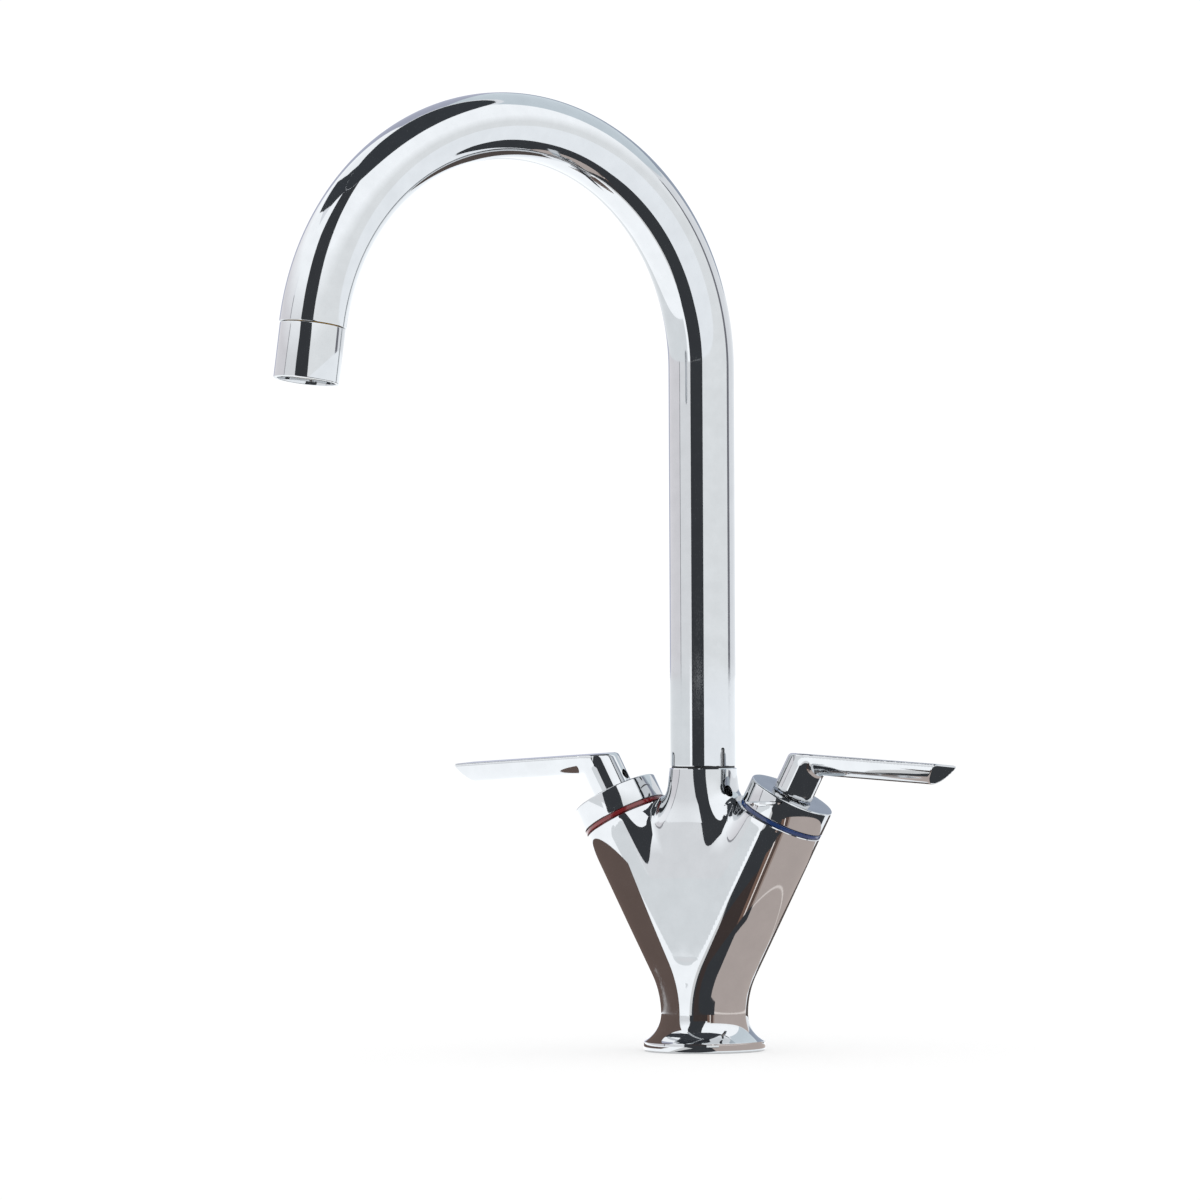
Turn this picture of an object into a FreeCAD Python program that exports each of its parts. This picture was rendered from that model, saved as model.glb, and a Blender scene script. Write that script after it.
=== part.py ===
import FreeCAD, Part
import Sketcher
import math
import os
import re

# Two handle kitchen mixer tap, millimetres.  +Z is up, the user stands at -Y, hot is at -X.
# The origin is the centre of the foot, on the face that rests on the sink deck.
#
# A cast brass Y body carries a quarter turn ceramic valve in each tilted arm and a swan neck
# spout in its middle stub.  Each valve piece is drawn upright on the Z axis, where Z is the
# distance along its arm, and is then tilted into the arm.

SIZES = {
    # foot and waist of the cast body
    "foot_diameter": 48.0,
    "foot_band": 4.2,
    "foot_edge": 0.6,
    # the two arms
    "arm_diameter": 34.6,
    "arm_tilt": 27.3,
    "arm_root": 26.8,
    "arm_bend": 50.0,
    "arm_length": 72.8,
    # the stub between the arms and the palm that joins all three
    "stub_diameter": 26.6,
    "stub_top": 112.0,
    "stub_flare": 36.0,
    "palm_drop": 18.0,
    "palm_gap": 0.8,
    "palm_inset": 0.5,
    "palm_curve": 680.0,
    # waterways
    "socket_bore": 20.0,
    "socket_depth": 28.0,
    "mixing_bore": 14.0,
    "mixing_depth": 15.0,
    "passage_bore": 7.0,
    "passage_depth": 28.8,
    "passage_height": 5.0,
    "supply_bore": 8.0,
    "supply_turn": 20.0,
    # stepped bore for a valve, each step measured from the arm's outside or its open end
    "arm_wall": 3.0,
    "seal_shelf": 3.8,
    "thread_step": 1.5,
    "seat_depth": 36.1,
    "thread_depth": 20.8,
    "counterbore_depth": 5.8,
    # underside: hose inlets, fixing stud and base seal
    "inlet_bore": 9.0,
    "inlet_depth": 12.0,
    "inlet_spacing": 15.0,
    "stud_bore": 6.8,
    "stud_depth": 12.0,
    "stud_offset": 11.5,
    "seal_diameter": 38.4,
    "seal_width": 3.0,
    "seal_depth": 2.4,
    "seal_clearance": 0.1,
    # hot and cold indicator rings and the caps over the valves
    "ring_height": 2.1,
    "ring_wall": 2.7,
    "cap_height": 9.4,
    "cap_wall": 2.0,
    "cap_roof": 2.2,
    "cap_edge": 0.6,
    "cap_hole": 12.4,
    "cap_boss_wall": 1.9,
    "cap_boss_depth": 5.0,
    # valve headwork
    "seat_seal_height": 2.0,
    "seat_seal_width": 3.2,
    "fixed_disc_height": 3.5,
    "moving_disc_height": 3.5,
    "disc_clearance": 0.1,
    "disc_port": 3.2,
    "tang_height": 4.2,
    "tang_width": 3.0,
    "collar_height": 1.2,
    "headwork_clearance": 0.3,
    "headwork_wall": 1.7,
    "window_width": 7.0,
    "flange_height": 2.8,
    "valve_ring_section": 1.6,
    "neck_diameter": 18.0,
    "neck_height": 8.6,
    "thread_clearance": 0.1,
    # spindle, its seals and its clip
    "spindle_diameter": 8.0,
    "spindle_clearance": 0.05,
    "spline_diameter": 7.4,
    "spline_length": 11.5,
    "spindle_seal_section": 1.1,
    "spindle_seal_depth": 14.8,
    "spindle_seal_pitch": 5.0,
    "clip_diameter": 11.8,
    "clip_height": 0.8,
    "clip_gap": 3.0,
    # lever: hub and half round bar
    "hub_diameter": 16.2,
    "hub_clearance": 0.3,
    "hub_height": 17.4,
    "hub_bore_clearance": 0.05,
    "lever_length": 62.5,
    "lever_droop": 3.7,
    "lever_edge": 0.7,
    "tip_slope": 37.0,
    "hot_lever_clocking": -5.0,
    "cold_lever_clocking": -8.5,
    "lever_screw_diameter": 4.0,
    "lever_screw_height": 4.4,
    "lever_screw_recess": 0.8,
    # spout
    "spout_diameter": 26.0,
    "spout_wall": 1.5,
    "spout_base_gap": 0.65,
    "spout_straight_top": 270.0,
    "spout_bend": 93.0,
    "spout_sweep": 171.5,
    "spout_turn": 28.5,
    "key_slot_width": 1.7,
    "key_slot_height": 7.5,
    "key_depth": 0.8,
    # spout nipple in the stub
    "nipple_clearance": 0.05,
    "nipple_bore": 14.0,
    "nipple_insert": 14.0,
    "nipple_foot_gap": 1.0,
    "glide_ring_height": 0.55,
    "glide_ring_margin": 0.5,
    "nipple_seal_section": 1.8,
    "nipple_seal_depth": 22.0,
    "nipple_seal_pitch": 6.0,
    "screw_groove_depth": 1.6,
    "screw_groove_width": 2.6,
    # grub screw that keeps the spout in the stub
    "grub_diameter": 4.0,
    "grub_depth": 9.0,
    "grub_bearing": 68.0,
    "grub_recess": 1.2,
    "grub_point": 2.4,
    "grub_socket": 2.0,
    "grub_socket_depth": 1.2,
    "grub_point_gap": 0.3,
    "screw_clearance": 0.05,
    # aerator at the end of the spout
    "ferrule_insert": 8.0,
    "ferrule_shoulder": 2.0,
    "ferrule_relief": 0.65,
    "ferrule_nose": 8.0,
    "ferrule_bore": 18.6,
    "ferrule_clearance": 0.1,
    "housing_diameter": 25.3,
    "housing_length": 21.7,
    "housing_gap": 0.25,
    "housing_wall": 1.4,
    "housing_edge": 0.4,
    "ledge_depth": 4.7,
    "ledge_height": 1.2,
    "ledge_width": 1.1,
    "aerator_washer_height": 1.5,
    "aerator_nose": 2.6,
    "aerator_hole": 1.1,
    "aerator_face": 1.2,
}

doc = FreeCAD.newDocument("kitchen_mixer_tap")
sheet = doc.addObject("Spreadsheet::Sheet", "sizes")
for row, (alias, value) in enumerate(SIZES.items(), start=1):
    sheet.set(f"A{row}", alias)
    sheet.set(f"B{row}", str(value))
    sheet.setAlias(f"B{row}", alias)
doc.recompute()

PARTS = []
UP = FreeCAD.Vector(0, 0, 1)
ORIGIN = FreeCAD.Vector(0, 0, 0)
ACROSS = FreeCAD.Vector(0, 1, 0)


def expression(text):
    """Write a sum of sheet names as an expression of the document."""
    return re.sub(r"[a-z]+(?:_[a-z]+)+", lambda name: "sizes." + name.group(0), text)


def value(text):
    """Work out a sum of sheet names now, for pieces that are shaped directly."""
    return float(sheet.evalExpression(expression(text)))


def bind(item, **properties):
    """Tie the properties of an object to sums of sheet names."""
    for name, text in properties.items():
        item.setExpression(name, expression(text))
    return item


def keep(item, label, placement=None):
    """Mark an object as one separate piece of the tap."""
    item.Label = label
    if placement is not None:
        item.Placement = placement
    PARTS.append(item)
    return item


# ---------------------------------------------------------------- levels shared by the pieces

# along an arm, from where the arms meet
SEAT = "(arm_length - seat_depth)"
THREAD_START = "(arm_length - thread_depth)"
COUNTERBORE_FLOOR = "arm_length - counterbore_depth"
SEAL_TOP = SEAT + " + seat_seal_height"
FIXED_DISC_TOP = SEAL_TOP + " + fixed_disc_height"
MOVING_DISC_BASE = FIXED_DISC_TOP + " + spindle_clearance"
TANG_BASE = MOVING_DISC_BASE + " + moving_disc_height + spindle_clearance"
COLLAR_BASE = TANG_BASE + " + tang_height"
COLLAR_TOP = COLLAR_BASE + " + collar_height"
HEADWORK_ROOF = COLLAR_TOP + " + spindle_clearance"
FLANGE_BASE = COUNTERBORE_FLOOR + " + valve_ring_section"
FLANGE_TOP = FLANGE_BASE + " + flange_height"
NECK_TOP = FLANGE_TOP + " + neck_height"
CAP_BASE = "arm_length + ring_height"
CAP_TOP = CAP_BASE + " + cap_height"
CAP_CEILING = CAP_TOP + " - cap_roof"
HUB_BASE = CAP_TOP + " + hub_clearance"
HUB_TOP = HUB_BASE + " + hub_height"
CLIP_BASE = NECK_TOP + " + spindle_clearance"
SPLINE_TOP = HUB_BASE + " + spline_length"

# across an arm, from its outside inwards
COUNTERBORE_RADIUS = "(arm_diameter / 2 - arm_wall)"
THREAD_RADIUS = "(arm_diameter / 2 - arm_wall - seal_shelf)"
CHAMBER_RADIUS = "(arm_diameter / 2 - arm_wall - seal_shelf - thread_step)"
FLANGE_RADIUS = "(arm_diameter / 2 - arm_wall - headwork_clearance)"
NOSE_RADIUS = "(arm_diameter / 2 - arm_wall - seal_shelf - thread_step - headwork_clearance)"
HEADWORK_BORE_RADIUS = NOSE_RADIUS[:-1] + " - headwork_wall)"
DISC_RADIUS = NOSE_RADIUS[:-1] + " - headwork_wall - disc_clearance)"

# up the stub and the spout
SOCKET_FLOOR = "(stub_top - socket_depth)"
MIXING_FLOOR = "(stub_top - socket_depth - mixing_depth)"
GRUB_LEVEL = "(stub_top - grub_depth)"
GLIDE_TOP = "stub_top + glide_ring_height"
TUBE_BASE = "stub_top + spout_base_gap"
NIPPLE_BASE = SOCKET_FLOOR + " + nipple_foot_gap"
NIPPLE_RADIUS = "(socket_bore / 2 - nipple_clearance)"
NIPPLE_SEALS = "(stub_top - nipple_seal_depth)"
TUBE_BORE_RADIUS = "(spout_diameter / 2 - spout_wall)"

# along the aerator, from the end of the tube
WASHER_BASE = "(ferrule_nose + ferrule_clearance)"
INSERT_BASE = "(ferrule_nose + ferrule_clearance + aerator_washer_height + ferrule_clearance)"
LEDGE_LEVEL = "(housing_length - ledge_depth)"
HOUSING_BORE_RADIUS = "(housing_diameter / 2 - housing_wall)"


def arm_place(side, clocking=0.0):
    """Tilt an upright piece into the cold arm (side 1) or the hot arm (side -1)."""
    tilt = FreeCAD.Rotation(ACROSS, value("arm_tilt"))
    half_turn = FreeCAD.Rotation(UP, 0 if side > 0 else 180)
    turn = FreeCAD.Rotation(UP, clocking)
    return FreeCAD.Placement(UP * value("arm_root"), half_turn * tilt * turn)


def spout_place():
    """Swing the spout from the +X direction to where it points, left of the front."""
    return FreeCAD.Placement(ORIGIN, FreeCAD.Rotation(UP, -90 - value("spout_turn")))


def spout_end():
    """Where the curved tube ends, with the flow along Z."""
    sweep = math.radians(value("spout_sweep"))
    bend = value("spout_bend")
    end = FreeCAD.Vector(bend * (1 - math.cos(sweep)), 0, value("spout_straight_top") + bend * math.sin(sweep))
    outlet = FreeCAD.Placement(end, FreeCAD.Rotation(ACROSS, value("spout_sweep")))
    return spout_place().multiply(outlet)


# ---------------------------------------------------------------- ways of making a piece

def origin_plane(body, role):
    """One of a body's own origin planes."""
    return next(plane for plane in body.Origin.OriginFeatures if plane.Role == role)


def outline(body, name, role, corners):
    """A closed outline of straight sides whose corners are tied to the sheet."""
    sketch = body.newObject("Sketcher::SketchObject", name)
    sketch.AttachmentSupport = [(origin_plane(body, role), "")]
    sketch.MapMode = "FlatFace"
    points = [FreeCAD.Vector(value(across), value(up), 0) for across, up in corners]
    for start, end in zip(points, points[1:] + points[:1]):
        sketch.addGeometry(Part.LineSegment(start, end), False)
    for side in range(len(corners)):
        sketch.addConstraint(Sketcher.Constraint("Coincident", side, 2, (side + 1) % len(corners), 1))
    for side, corner in enumerate(corners):
        for kind, axis, text in zip(("DistanceX", "DistanceY"), (-2, -1), corner):
            if text == "0":
                sketch.addConstraint(Sketcher.Constraint("PointOnObject", side, 1, axis))
                continue
            distance = Sketcher.Constraint(kind, -1, 1, side, 1, value(text))
            index = sketch.addConstraint(distance)
            sketch.setExpression(f"Constraints[{index}]", expression(text))
    return sketch


def turned(label, corners, placement=None):
    """A piece turned about Z from half of its section, given as (radius, level) corners."""
    body = doc.addObject("PartDesign::Body", label)
    profile = outline(body, label + "_section", "XZ_Plane", corners)
    revolution = body.newObject("PartDesign::Revolution", label + "_turned")
    revolution.Profile = profile
    revolution.ReferenceAxis = (profile, ["V_Axis"])
    revolution.Angle = 360
    doc.recompute()
    return body if placement is None else keep(body, label, placement)


def ring(label, outer, inner, base, top, placement):
    """A plain turned ring with a rectangular section."""
    corners = [(inner, base), (outer, base), (outer, top), (inner, top)]
    return turned(label, corners, placement)


def slot_through(body, label, width, depth, base, top, turn=False):
    """Cut a rectangular slot through a turned piece, along X, or along Y where turn is set."""
    role = "XZ_Plane" if turn else "YZ_Plane"
    half = f"({width}) / 2"
    corners = [("-" + half, base), (half, base), (half, top), ("-" + half, top)]
    profile = outline(body, label, role, corners)
    pocket = body.newObject("PartDesign::Pocket", label + "_cut")
    pocket.Profile = profile
    pocket.Midplane = True
    pocket.Type = "Length"
    bind(pocket, Length=depth)
    before = body.Shape.Volume
    doc.recompute()
    if not body.Shape.Volume < before:
        raise RuntimeError(label + " cuts nothing")
    return pocket


def seal_rings(label, radius, section, levels, placement):
    """O-rings of one size, side by side on one shaft."""
    tori = []
    for number, level in enumerate(levels, start=1):
        torus = doc.addObject("Part::Torus", f"{label}_{number}")
        bind(torus, Radius1=radius, Radius2=f"({section}) / 2")
        torus.setExpression("Placement.Base.z", expression(level))
        tori.append(torus)
    group = doc.addObject("Part::Compound", label)
    group.Links = tori
    return keep(group, label, placement)


def cylinder(name, radius, height, level="0", direction=UP, at=ORIGIN):
    """A cylinder that starts at a level above a point and runs along a direction."""
    item = doc.addObject("Part::Cylinder", name)
    bind(item, Radius=radius, Height=height)
    item.Placement = FreeCAD.Placement(at + UP * value(level), FreeCAD.Rotation(UP, direction))
    return item


def joined(name, items):
    """Several solids fused into one."""
    fusion = doc.addObject("Part::MultiFuse", name)
    fusion.Shapes = items
    fusion.Refine = True
    return fusion


def difference(name, base, tool):
    """One solid less another."""
    cut = doc.addObject("Part::Cut", name)
    cut.Base = base
    cut.Tool = tool
    return cut


# ---------------------------------------------------------------- cast body

def arm_direction(side):
    """Unit vector up the cold arm (side 1) or the hot arm (side -1)."""
    tilt = math.radians(value("arm_tilt"))
    return FreeCAD.Vector(side * math.sin(tilt), 0, math.cos(tilt))


def along_arm(side, distance):
    """A point on an arm's axis."""
    return UP * value("arm_root") + arm_direction(side) * distance


def bend_start():
    """Level where the two arms leave the waist."""
    return value("arm_root") - value("arm_bend") * math.tan(math.radians(value("arm_tilt")) / 2)


def foot_shape():
    """The foot's band and the hollow flare up to the waist."""
    rim = value("foot_diameter / 2")
    edge = value("foot_edge")
    band = value("foot_band")
    waist = value("arm_diameter / 2")
    top = bend_start()
    start = FreeCAD.Vector(rim - edge, 0, band)
    end = FreeCAD.Vector(waist, 0, top)
    reach, rise = start.x - end.x, end.z - start.z
    hollow = (reach ** 2 + rise ** 2) / (2 * reach)
    turn = math.asin(rise / hollow) / 2
    middle = FreeCAD.Vector(waist + hollow * (1 - math.cos(turn)), 0, top - hollow * math.sin(turn))
    corners = [ORIGIN, FreeCAD.Vector(rim - edge, 0, 0), FreeCAD.Vector(rim, 0, edge),
               FreeCAD.Vector(rim, 0, band - edge), start]
    edges = [Part.LineSegment(a, b).toShape() for a, b in zip(corners, corners[1:])]
    edges.append(Part.Arc(start, middle, end).toShape())
    edges.append(Part.LineSegment(end, UP * top).toShape())
    edges.append(Part.LineSegment(UP * top, ORIGIN).toShape())
    return Part.Face(Part.Wire(edges)).revolve(ORIGIN, UP, 360)


def arm_shape(side):
    """One arm: it leaves the waist upright and bends outwards into its tilt."""
    bend = value("arm_bend")
    radius = value("arm_diameter / 2")
    start = UP * bend_start()
    tangent = value("arm_root") - start.z
    disc = Part.Face(Part.Wire(Part.makeCircle(radius, start, UP)))
    elbow = disc.revolve(start + FreeCAD.Vector(side * bend, 0, 0), FreeCAD.Vector(0, side, 0),
                         value("arm_tilt"))
    straight = Part.makeCylinder(radius, value("arm_length") - tangent,
                                 along_arm(side, tangent), arm_direction(side))
    return elbow.fuse(straight)


def trumpet_shape():
    """The stub, round at its top and flaring down into the arms."""
    radius = value("stub_diameter / 2")
    top = value("stub_top")
    flare = value("stub_flare")
    low = top - value("palm_drop") - radius / 2
    drop = top - low
    reach = flare - math.sqrt(flare ** 2 - drop ** 2)
    turn = math.asin(drop / flare) / 2
    middle = FreeCAD.Vector(radius + flare * (1 - math.cos(turn)), 0, top - flare * math.sin(turn))
    end = FreeCAD.Vector(radius + reach, 0, low)
    edges = [Part.LineSegment(UP * top, FreeCAD.Vector(radius, 0, top)).toShape(),
             Part.Arc(FreeCAD.Vector(radius, 0, top), middle, end).toShape(),
             Part.LineSegment(end, UP * low).toShape(),
             Part.LineSegment(UP * low, UP * top).toShape()]
    return Part.Face(Part.Wire(edges)).revolve(ORIGIN, UP, 360)


def palm_shape():
    """The web between the arms, as wide as their axes, before its faces are curved."""
    top = value("stub_top - palm_drop")
    reach = value("arm_length - palm_gap")
    tilt = math.radians(value("arm_tilt"))
    shoulder = (reach - (top - value("arm_root")) * math.cos(tilt)) / math.sin(tilt)
    step = ACROSS * value("arm_diameter / 2 - palm_inset")
    right = [along_arm(1, reach) - step, FreeCAD.Vector(shoulder, -step.y, top)]
    left = [FreeCAD.Vector(-shoulder, -step.y, top), along_arm(-1, reach) - step]
    low = UP * value("arm_root") - step
    return Part.Face(Part.makePolygon([low] + right + left + [low])).extrude(step * 2)


def slab_shape():
    """The room between the palm's gently curved front and back faces."""
    half = value("stub_diameter / 2")
    top = value("stub_top")
    curve = value("palm_curve")
    width = value("foot_diameter") * 3
    turn = math.asin(top / curve)
    foot = half + curve * (1 - math.cos(turn))
    middle = half + curve * (1 - math.cos(turn / 2))
    level = top - curve * math.sin(turn / 2)

    def point(side, y, z):
        return FreeCAD.Vector(-width / 2, side * y, z)

    edges = [Part.Arc(point(-1, half, top), point(-1, middle, level), point(-1, foot, 0)).toShape(),
             Part.LineSegment(point(-1, foot, 0), point(1, foot, 0)).toShape(),
             Part.Arc(point(1, foot, 0), point(1, middle, level), point(1, half, top)).toShape(),
             Part.LineSegment(point(1, half, top), point(-1, half, top)).toShape()]
    return Part.Face(Part.Wire(edges)).extrude(FreeCAD.Vector(width, 0, 0))


def valve_socket(side):
    """The stepped bore for a valve, and its supply and outlet passages."""
    direction = arm_direction(side)
    top = value("arm_length")
    steps = [(CHAMBER_RADIUS, SEAT), (THREAD_RADIUS, THREAD_START), (COUNTERBORE_RADIUS, COUNTERBORE_FLOOR)]
    tools = [Part.makeCylinder(value(radius), top - value(low), along_arm(side, value(low)), direction)
             for radius, low in steps]
    radius = value("supply_bore / 2")
    inlet = FreeCAD.Vector(side * value("inlet_spacing / 2"), 0, 0)
    turn = inlet + UP * value("supply_turn")
    rise = along_arm(side, value(SEAT)) - turn
    tools.append(Part.makeCylinder(radius, turn.z, inlet))
    tools.append(Part.makeSphere(radius, turn))
    tools.append(Part.makeCylinder(radius, rise.Length, turn, rise))
    tools.append(Part.makeCylinder(value("inlet_bore / 2"), value("inlet_depth"), inlet))
    start = along_arm(side, value("arm_length - passage_depth"))
    run = UP * value(MIXING_FLOOR + " + passage_height") - start
    tools.append(Part.makeCylinder(value("passage_bore / 2"), run.Length, start, run))
    return tools


def grub_axis():
    """Direction of the spout's grub screw, outwards from the stub's axis."""
    bearing = math.radians(value("grub_bearing") - 90)
    return FreeCAD.Vector(math.cos(bearing), math.sin(bearing), 0)


def cast_body():
    """The Y shaped casting with its sockets, waterways and fixing hole."""
    middle = trumpet_shape().fuse(palm_shape()).common(slab_shape())
    for side in (1, -1):
        # room for the ring and the cap beside the stub
        middle = middle.cut(Part.makeCylinder(value("arm_diameter / 2 + palm_gap"), value("ring_height + cap_height"),
                                              along_arm(side, value("arm_length")), arm_direction(side)))
    outside = arm_shape(1).fuse(arm_shape(-1)).fuse(middle).fuse(foot_shape())
    tools = valve_socket(1) + valve_socket(-1)
    socket_floor = value(SOCKET_FLOOR)
    stub_top = value("stub_top")
    mixing_floor = value(MIXING_FLOOR)
    tools.append(Part.makeCylinder(value("socket_bore / 2"), stub_top - socket_floor, UP * socket_floor))
    tools.append(Part.makeCylinder(value("mixing_bore / 2"), socket_floor - mixing_floor, UP * mixing_floor))
    tools.append(Part.makeCylinder(value("grub_diameter / 2"), value("stub_diameter"),
                                   UP * value(GRUB_LEVEL), grub_axis()))
    tools.append(Part.makeCylinder(value("stud_bore / 2"), value("stud_depth"),
                                   FreeCAD.Vector(0, value("stud_offset"), 0)))
    inner = value("seal_diameter / 2")
    depth = value("seal_depth")
    groove = Part.makeCylinder(inner + value("seal_width"), depth).cut(Part.makeCylinder(inner, depth))
    tools.append(groove)
    for tool in tools:
        outside = outside.cut(tool)
    item = doc.addObject("Part::Feature", "body")
    item.Shape = outside
    keep(item, "body", FreeCAD.Placement())


def base_seal():
    """Flat rubber ring in the groove under the foot, level with the foot."""
    ring("base_seal", "seal_diameter / 2 + seal_width - seal_clearance",
         "seal_diameter / 2 + seal_clearance", "0", "seal_depth", FreeCAD.Placement())


def spout_grub_screw():
    """Grub screw whose point runs in the nipple's groove, so that the spout turns but stays in."""
    point = value(NIPPLE_RADIUS + " - screw_groove_depth + grub_point_gap")
    shoulder = value("socket_bore / 2 + grub_point_gap")
    outer = value("stub_diameter / 2 - grub_recess")
    radius = value("grub_diameter / 2 - screw_clearance")
    floor = outer - value("grub_socket_depth")
    placement = FreeCAD.Placement(UP * value(GRUB_LEVEL), FreeCAD.Rotation(UP, grub_axis()))
    body = doc.addObject("PartDesign::Body", "spout_grub_screw")
    corners = [("0", str(point)), ("grub_point / 2", str(point)), ("grub_point / 2", str(shoulder)),
               (str(radius), str(shoulder)), (str(radius), str(outer)),
               ("grub_socket / 2", str(outer)), ("grub_socket / 2", str(floor)), ("0", str(floor))]
    profile = outline(body, "spout_grub_screw_section", "XZ_Plane", corners)
    revolution = body.newObject("PartDesign::Revolution", "spout_grub_screw_turned")
    revolution.Profile = profile
    revolution.ReferenceAxis = (profile, ["V_Axis"])
    revolution.Angle = 360
    doc.recompute()
    keep(body, "spout_grub_screw", placement)


# ---------------------------------------------------------------- valve in each arm

def indicator_ring(name, place):
    """Coloured ring between the arm and the cap."""
    ring(name + "_indicator_ring", "arm_diameter / 2", "arm_diameter / 2 - ring_wall",
         "arm_length", CAP_BASE, place)


def valve_cap(name, place):
    """Plated cap that screws onto the headwork's neck and hides the valve."""
    radius = "arm_diameter / 2"
    boss_base = CAP_CEILING + " - cap_boss_depth"
    neck = "neck_diameter / 2 + thread_clearance"
    boss = neck + " + cap_boss_wall"
    corners = [(radius + " - cap_wall", CAP_BASE), (radius, CAP_BASE), (radius, CAP_TOP + " - cap_edge"),
               (radius + " - cap_edge", CAP_TOP), ("cap_hole / 2", CAP_TOP), ("cap_hole / 2", CAP_CEILING),
               (neck, CAP_CEILING), (neck, boss_base), (boss, boss_base),
               (boss, CAP_CEILING), (radius + " - cap_wall", CAP_CEILING)]
    turned(name + "_cap", corners, place)


def headwork(name, place):
    """Brass headwork: threaded into the arm, it holds the discs and guides the spindle."""
    thread = THREAD_RADIUS + " - thread_clearance"
    thread_base = THREAD_START + " + thread_clearance"
    hole = "spindle_diameter / 2"
    corners = [(HEADWORK_BORE_RADIUS, SEAL_TOP), (NOSE_RADIUS, SEAL_TOP), (NOSE_RADIUS, thread_base),
               (thread, thread_base), (thread, FLANGE_BASE), (FLANGE_RADIUS, FLANGE_BASE),
               (FLANGE_RADIUS, FLANGE_TOP), ("neck_diameter / 2", FLANGE_TOP),
               ("neck_diameter / 2", NECK_TOP), (hole, NECK_TOP), (hole, HEADWORK_ROOF),
               (HEADWORK_BORE_RADIUS, HEADWORK_ROOF)]
    body = turned(name + "_headwork", corners, place)
    slot_through(body, name + "_outlet_window", "window_width", "arm_diameter", TANG_BASE, COLLAR_BASE)


def seals_and_discs(name, place):
    """Seat seal, flange seal and the fixed ceramic disc."""
    ring(name + "_seat_seal", NOSE_RADIUS, NOSE_RADIUS + " - seat_seal_width", SEAT, SEAL_TOP, place)
    flange_seal = f"({THREAD_RADIUS} + {FLANGE_RADIUS}) / 2"
    seal_rings(name + "_headwork_seal", flange_seal, "valve_ring_section",
               [COUNTERBORE_FLOOR + " + valve_ring_section / 2"], place)
    ceramic_disc(name + "_fixed_disc", SEAL_TOP, "fixed_disc_height", place)


def ceramic_disc(label, base, height, place):
    """A ceramic disc with two round ports, one each side of its middle."""
    body = doc.addObject("PartDesign::Body", label)
    top = base + " + " + height
    profile = outline(body, label + "_section", "XZ_Plane",
                      [("0", base), (DISC_RADIUS, base), (DISC_RADIUS, top), ("0", top)])
    revolution = body.newObject("PartDesign::Revolution", label + "_blank")
    revolution.Profile = profile
    revolution.ReferenceAxis = (profile, ["V_Axis"])
    revolution.Angle = 360
    doc.recompute()
    ports = body.newObject("Sketcher::SketchObject", label + "_ports")
    ports.AttachmentSupport = [(origin_plane(body, "XY_Plane"), "")]
    ports.MapMode = "FlatFace"
    for index, side in enumerate((1, -1)):
        centre = FreeCAD.Vector(side * value(DISC_RADIUS + " / 2"), 0, 0)
        ports.addGeometry(Part.Circle(centre, UP, value("disc_port / 2")), False)
        ports.addConstraint(Sketcher.Constraint("PointOnObject", index, 3, -1))
        for kind, text in (("DistanceX", DISC_RADIUS + " / 2"), ("Radius", "disc_port / 2")):
            text = ("-" if side < 0 and kind == "DistanceX" else "") + text
            if kind == "DistanceX":
                constraint = Sketcher.Constraint(kind, -1, 1, index, 3, value(text))
            else:
                constraint = Sketcher.Constraint(kind, index, value(text))
            number = ports.addConstraint(constraint)
            ports.setExpression(f"Constraints[{number}]", expression(text))
    pocket = body.newObject("PartDesign::Pocket", label + "_port_cut")
    pocket.Profile = ports
    pocket.Type = "ThroughAll"
    pocket.Midplane = True
    before = body.Shape.Volume
    doc.recompute()
    if not body.Shape.Volume < before:
        raise RuntimeError(label + " has no ports")
    keep(body, label, place)


def spindle(name, place):
    """Brass spindle: a tang that turns the moving disc, a collar, the stem and the splined end."""
    stem = "spindle_diameter / 2 - spindle_clearance"
    groove = stem + " - spindle_seal_section"
    clip_groove = stem + " - clip_height"
    spline = "spline_diameter / 2"
    first = "arm_length - spindle_seal_depth - spindle_seal_section * 0.7"
    corners = [("0", TANG_BASE), (DISC_RADIUS, TANG_BASE), (DISC_RADIUS, COLLAR_TOP), (stem, COLLAR_TOP)]
    for number in range(2):
        start = first + f" + spindle_seal_pitch * {number}"
        end = start + " + spindle_seal_section * 1.4"
        corners += [(stem, start), (groove, start), (groove, end), (stem, end)]
    corners += [(stem, CLIP_BASE), (clip_groove, CLIP_BASE), (clip_groove, CLIP_BASE + " + clip_height * 1.1"),
                (stem, CLIP_BASE + " + clip_height * 1.1"), (stem, CAP_TOP), (spline, CAP_TOP),
                (spline, SPLINE_TOP), ("0", SPLINE_TOP)]
    body = turned(name + "_spindle", corners, place)
    for number, sign in enumerate(("", "-"), start=1):
        near = sign + "tang_width / 2"
        far = f"{sign}({DISC_RADIUS} + tang_width)"
        profile = outline(body, f"{name}_tang_side_{number}", "YZ_Plane",
                          [(near, TANG_BASE), (far, TANG_BASE), (far, COLLAR_BASE), (near, COLLAR_BASE)])
        pocket = body.newObject("PartDesign::Pocket", f"{name}_tang_cut_{number}")
        pocket.Profile = profile
        pocket.Midplane = True
        pocket.Type = "Length"
        bind(pocket, Length="arm_diameter")
        before = body.Shape.Volume
        doc.recompute()
        if not body.Shape.Volume < before:
            raise RuntimeError(name + " spindle has no tang")


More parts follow.
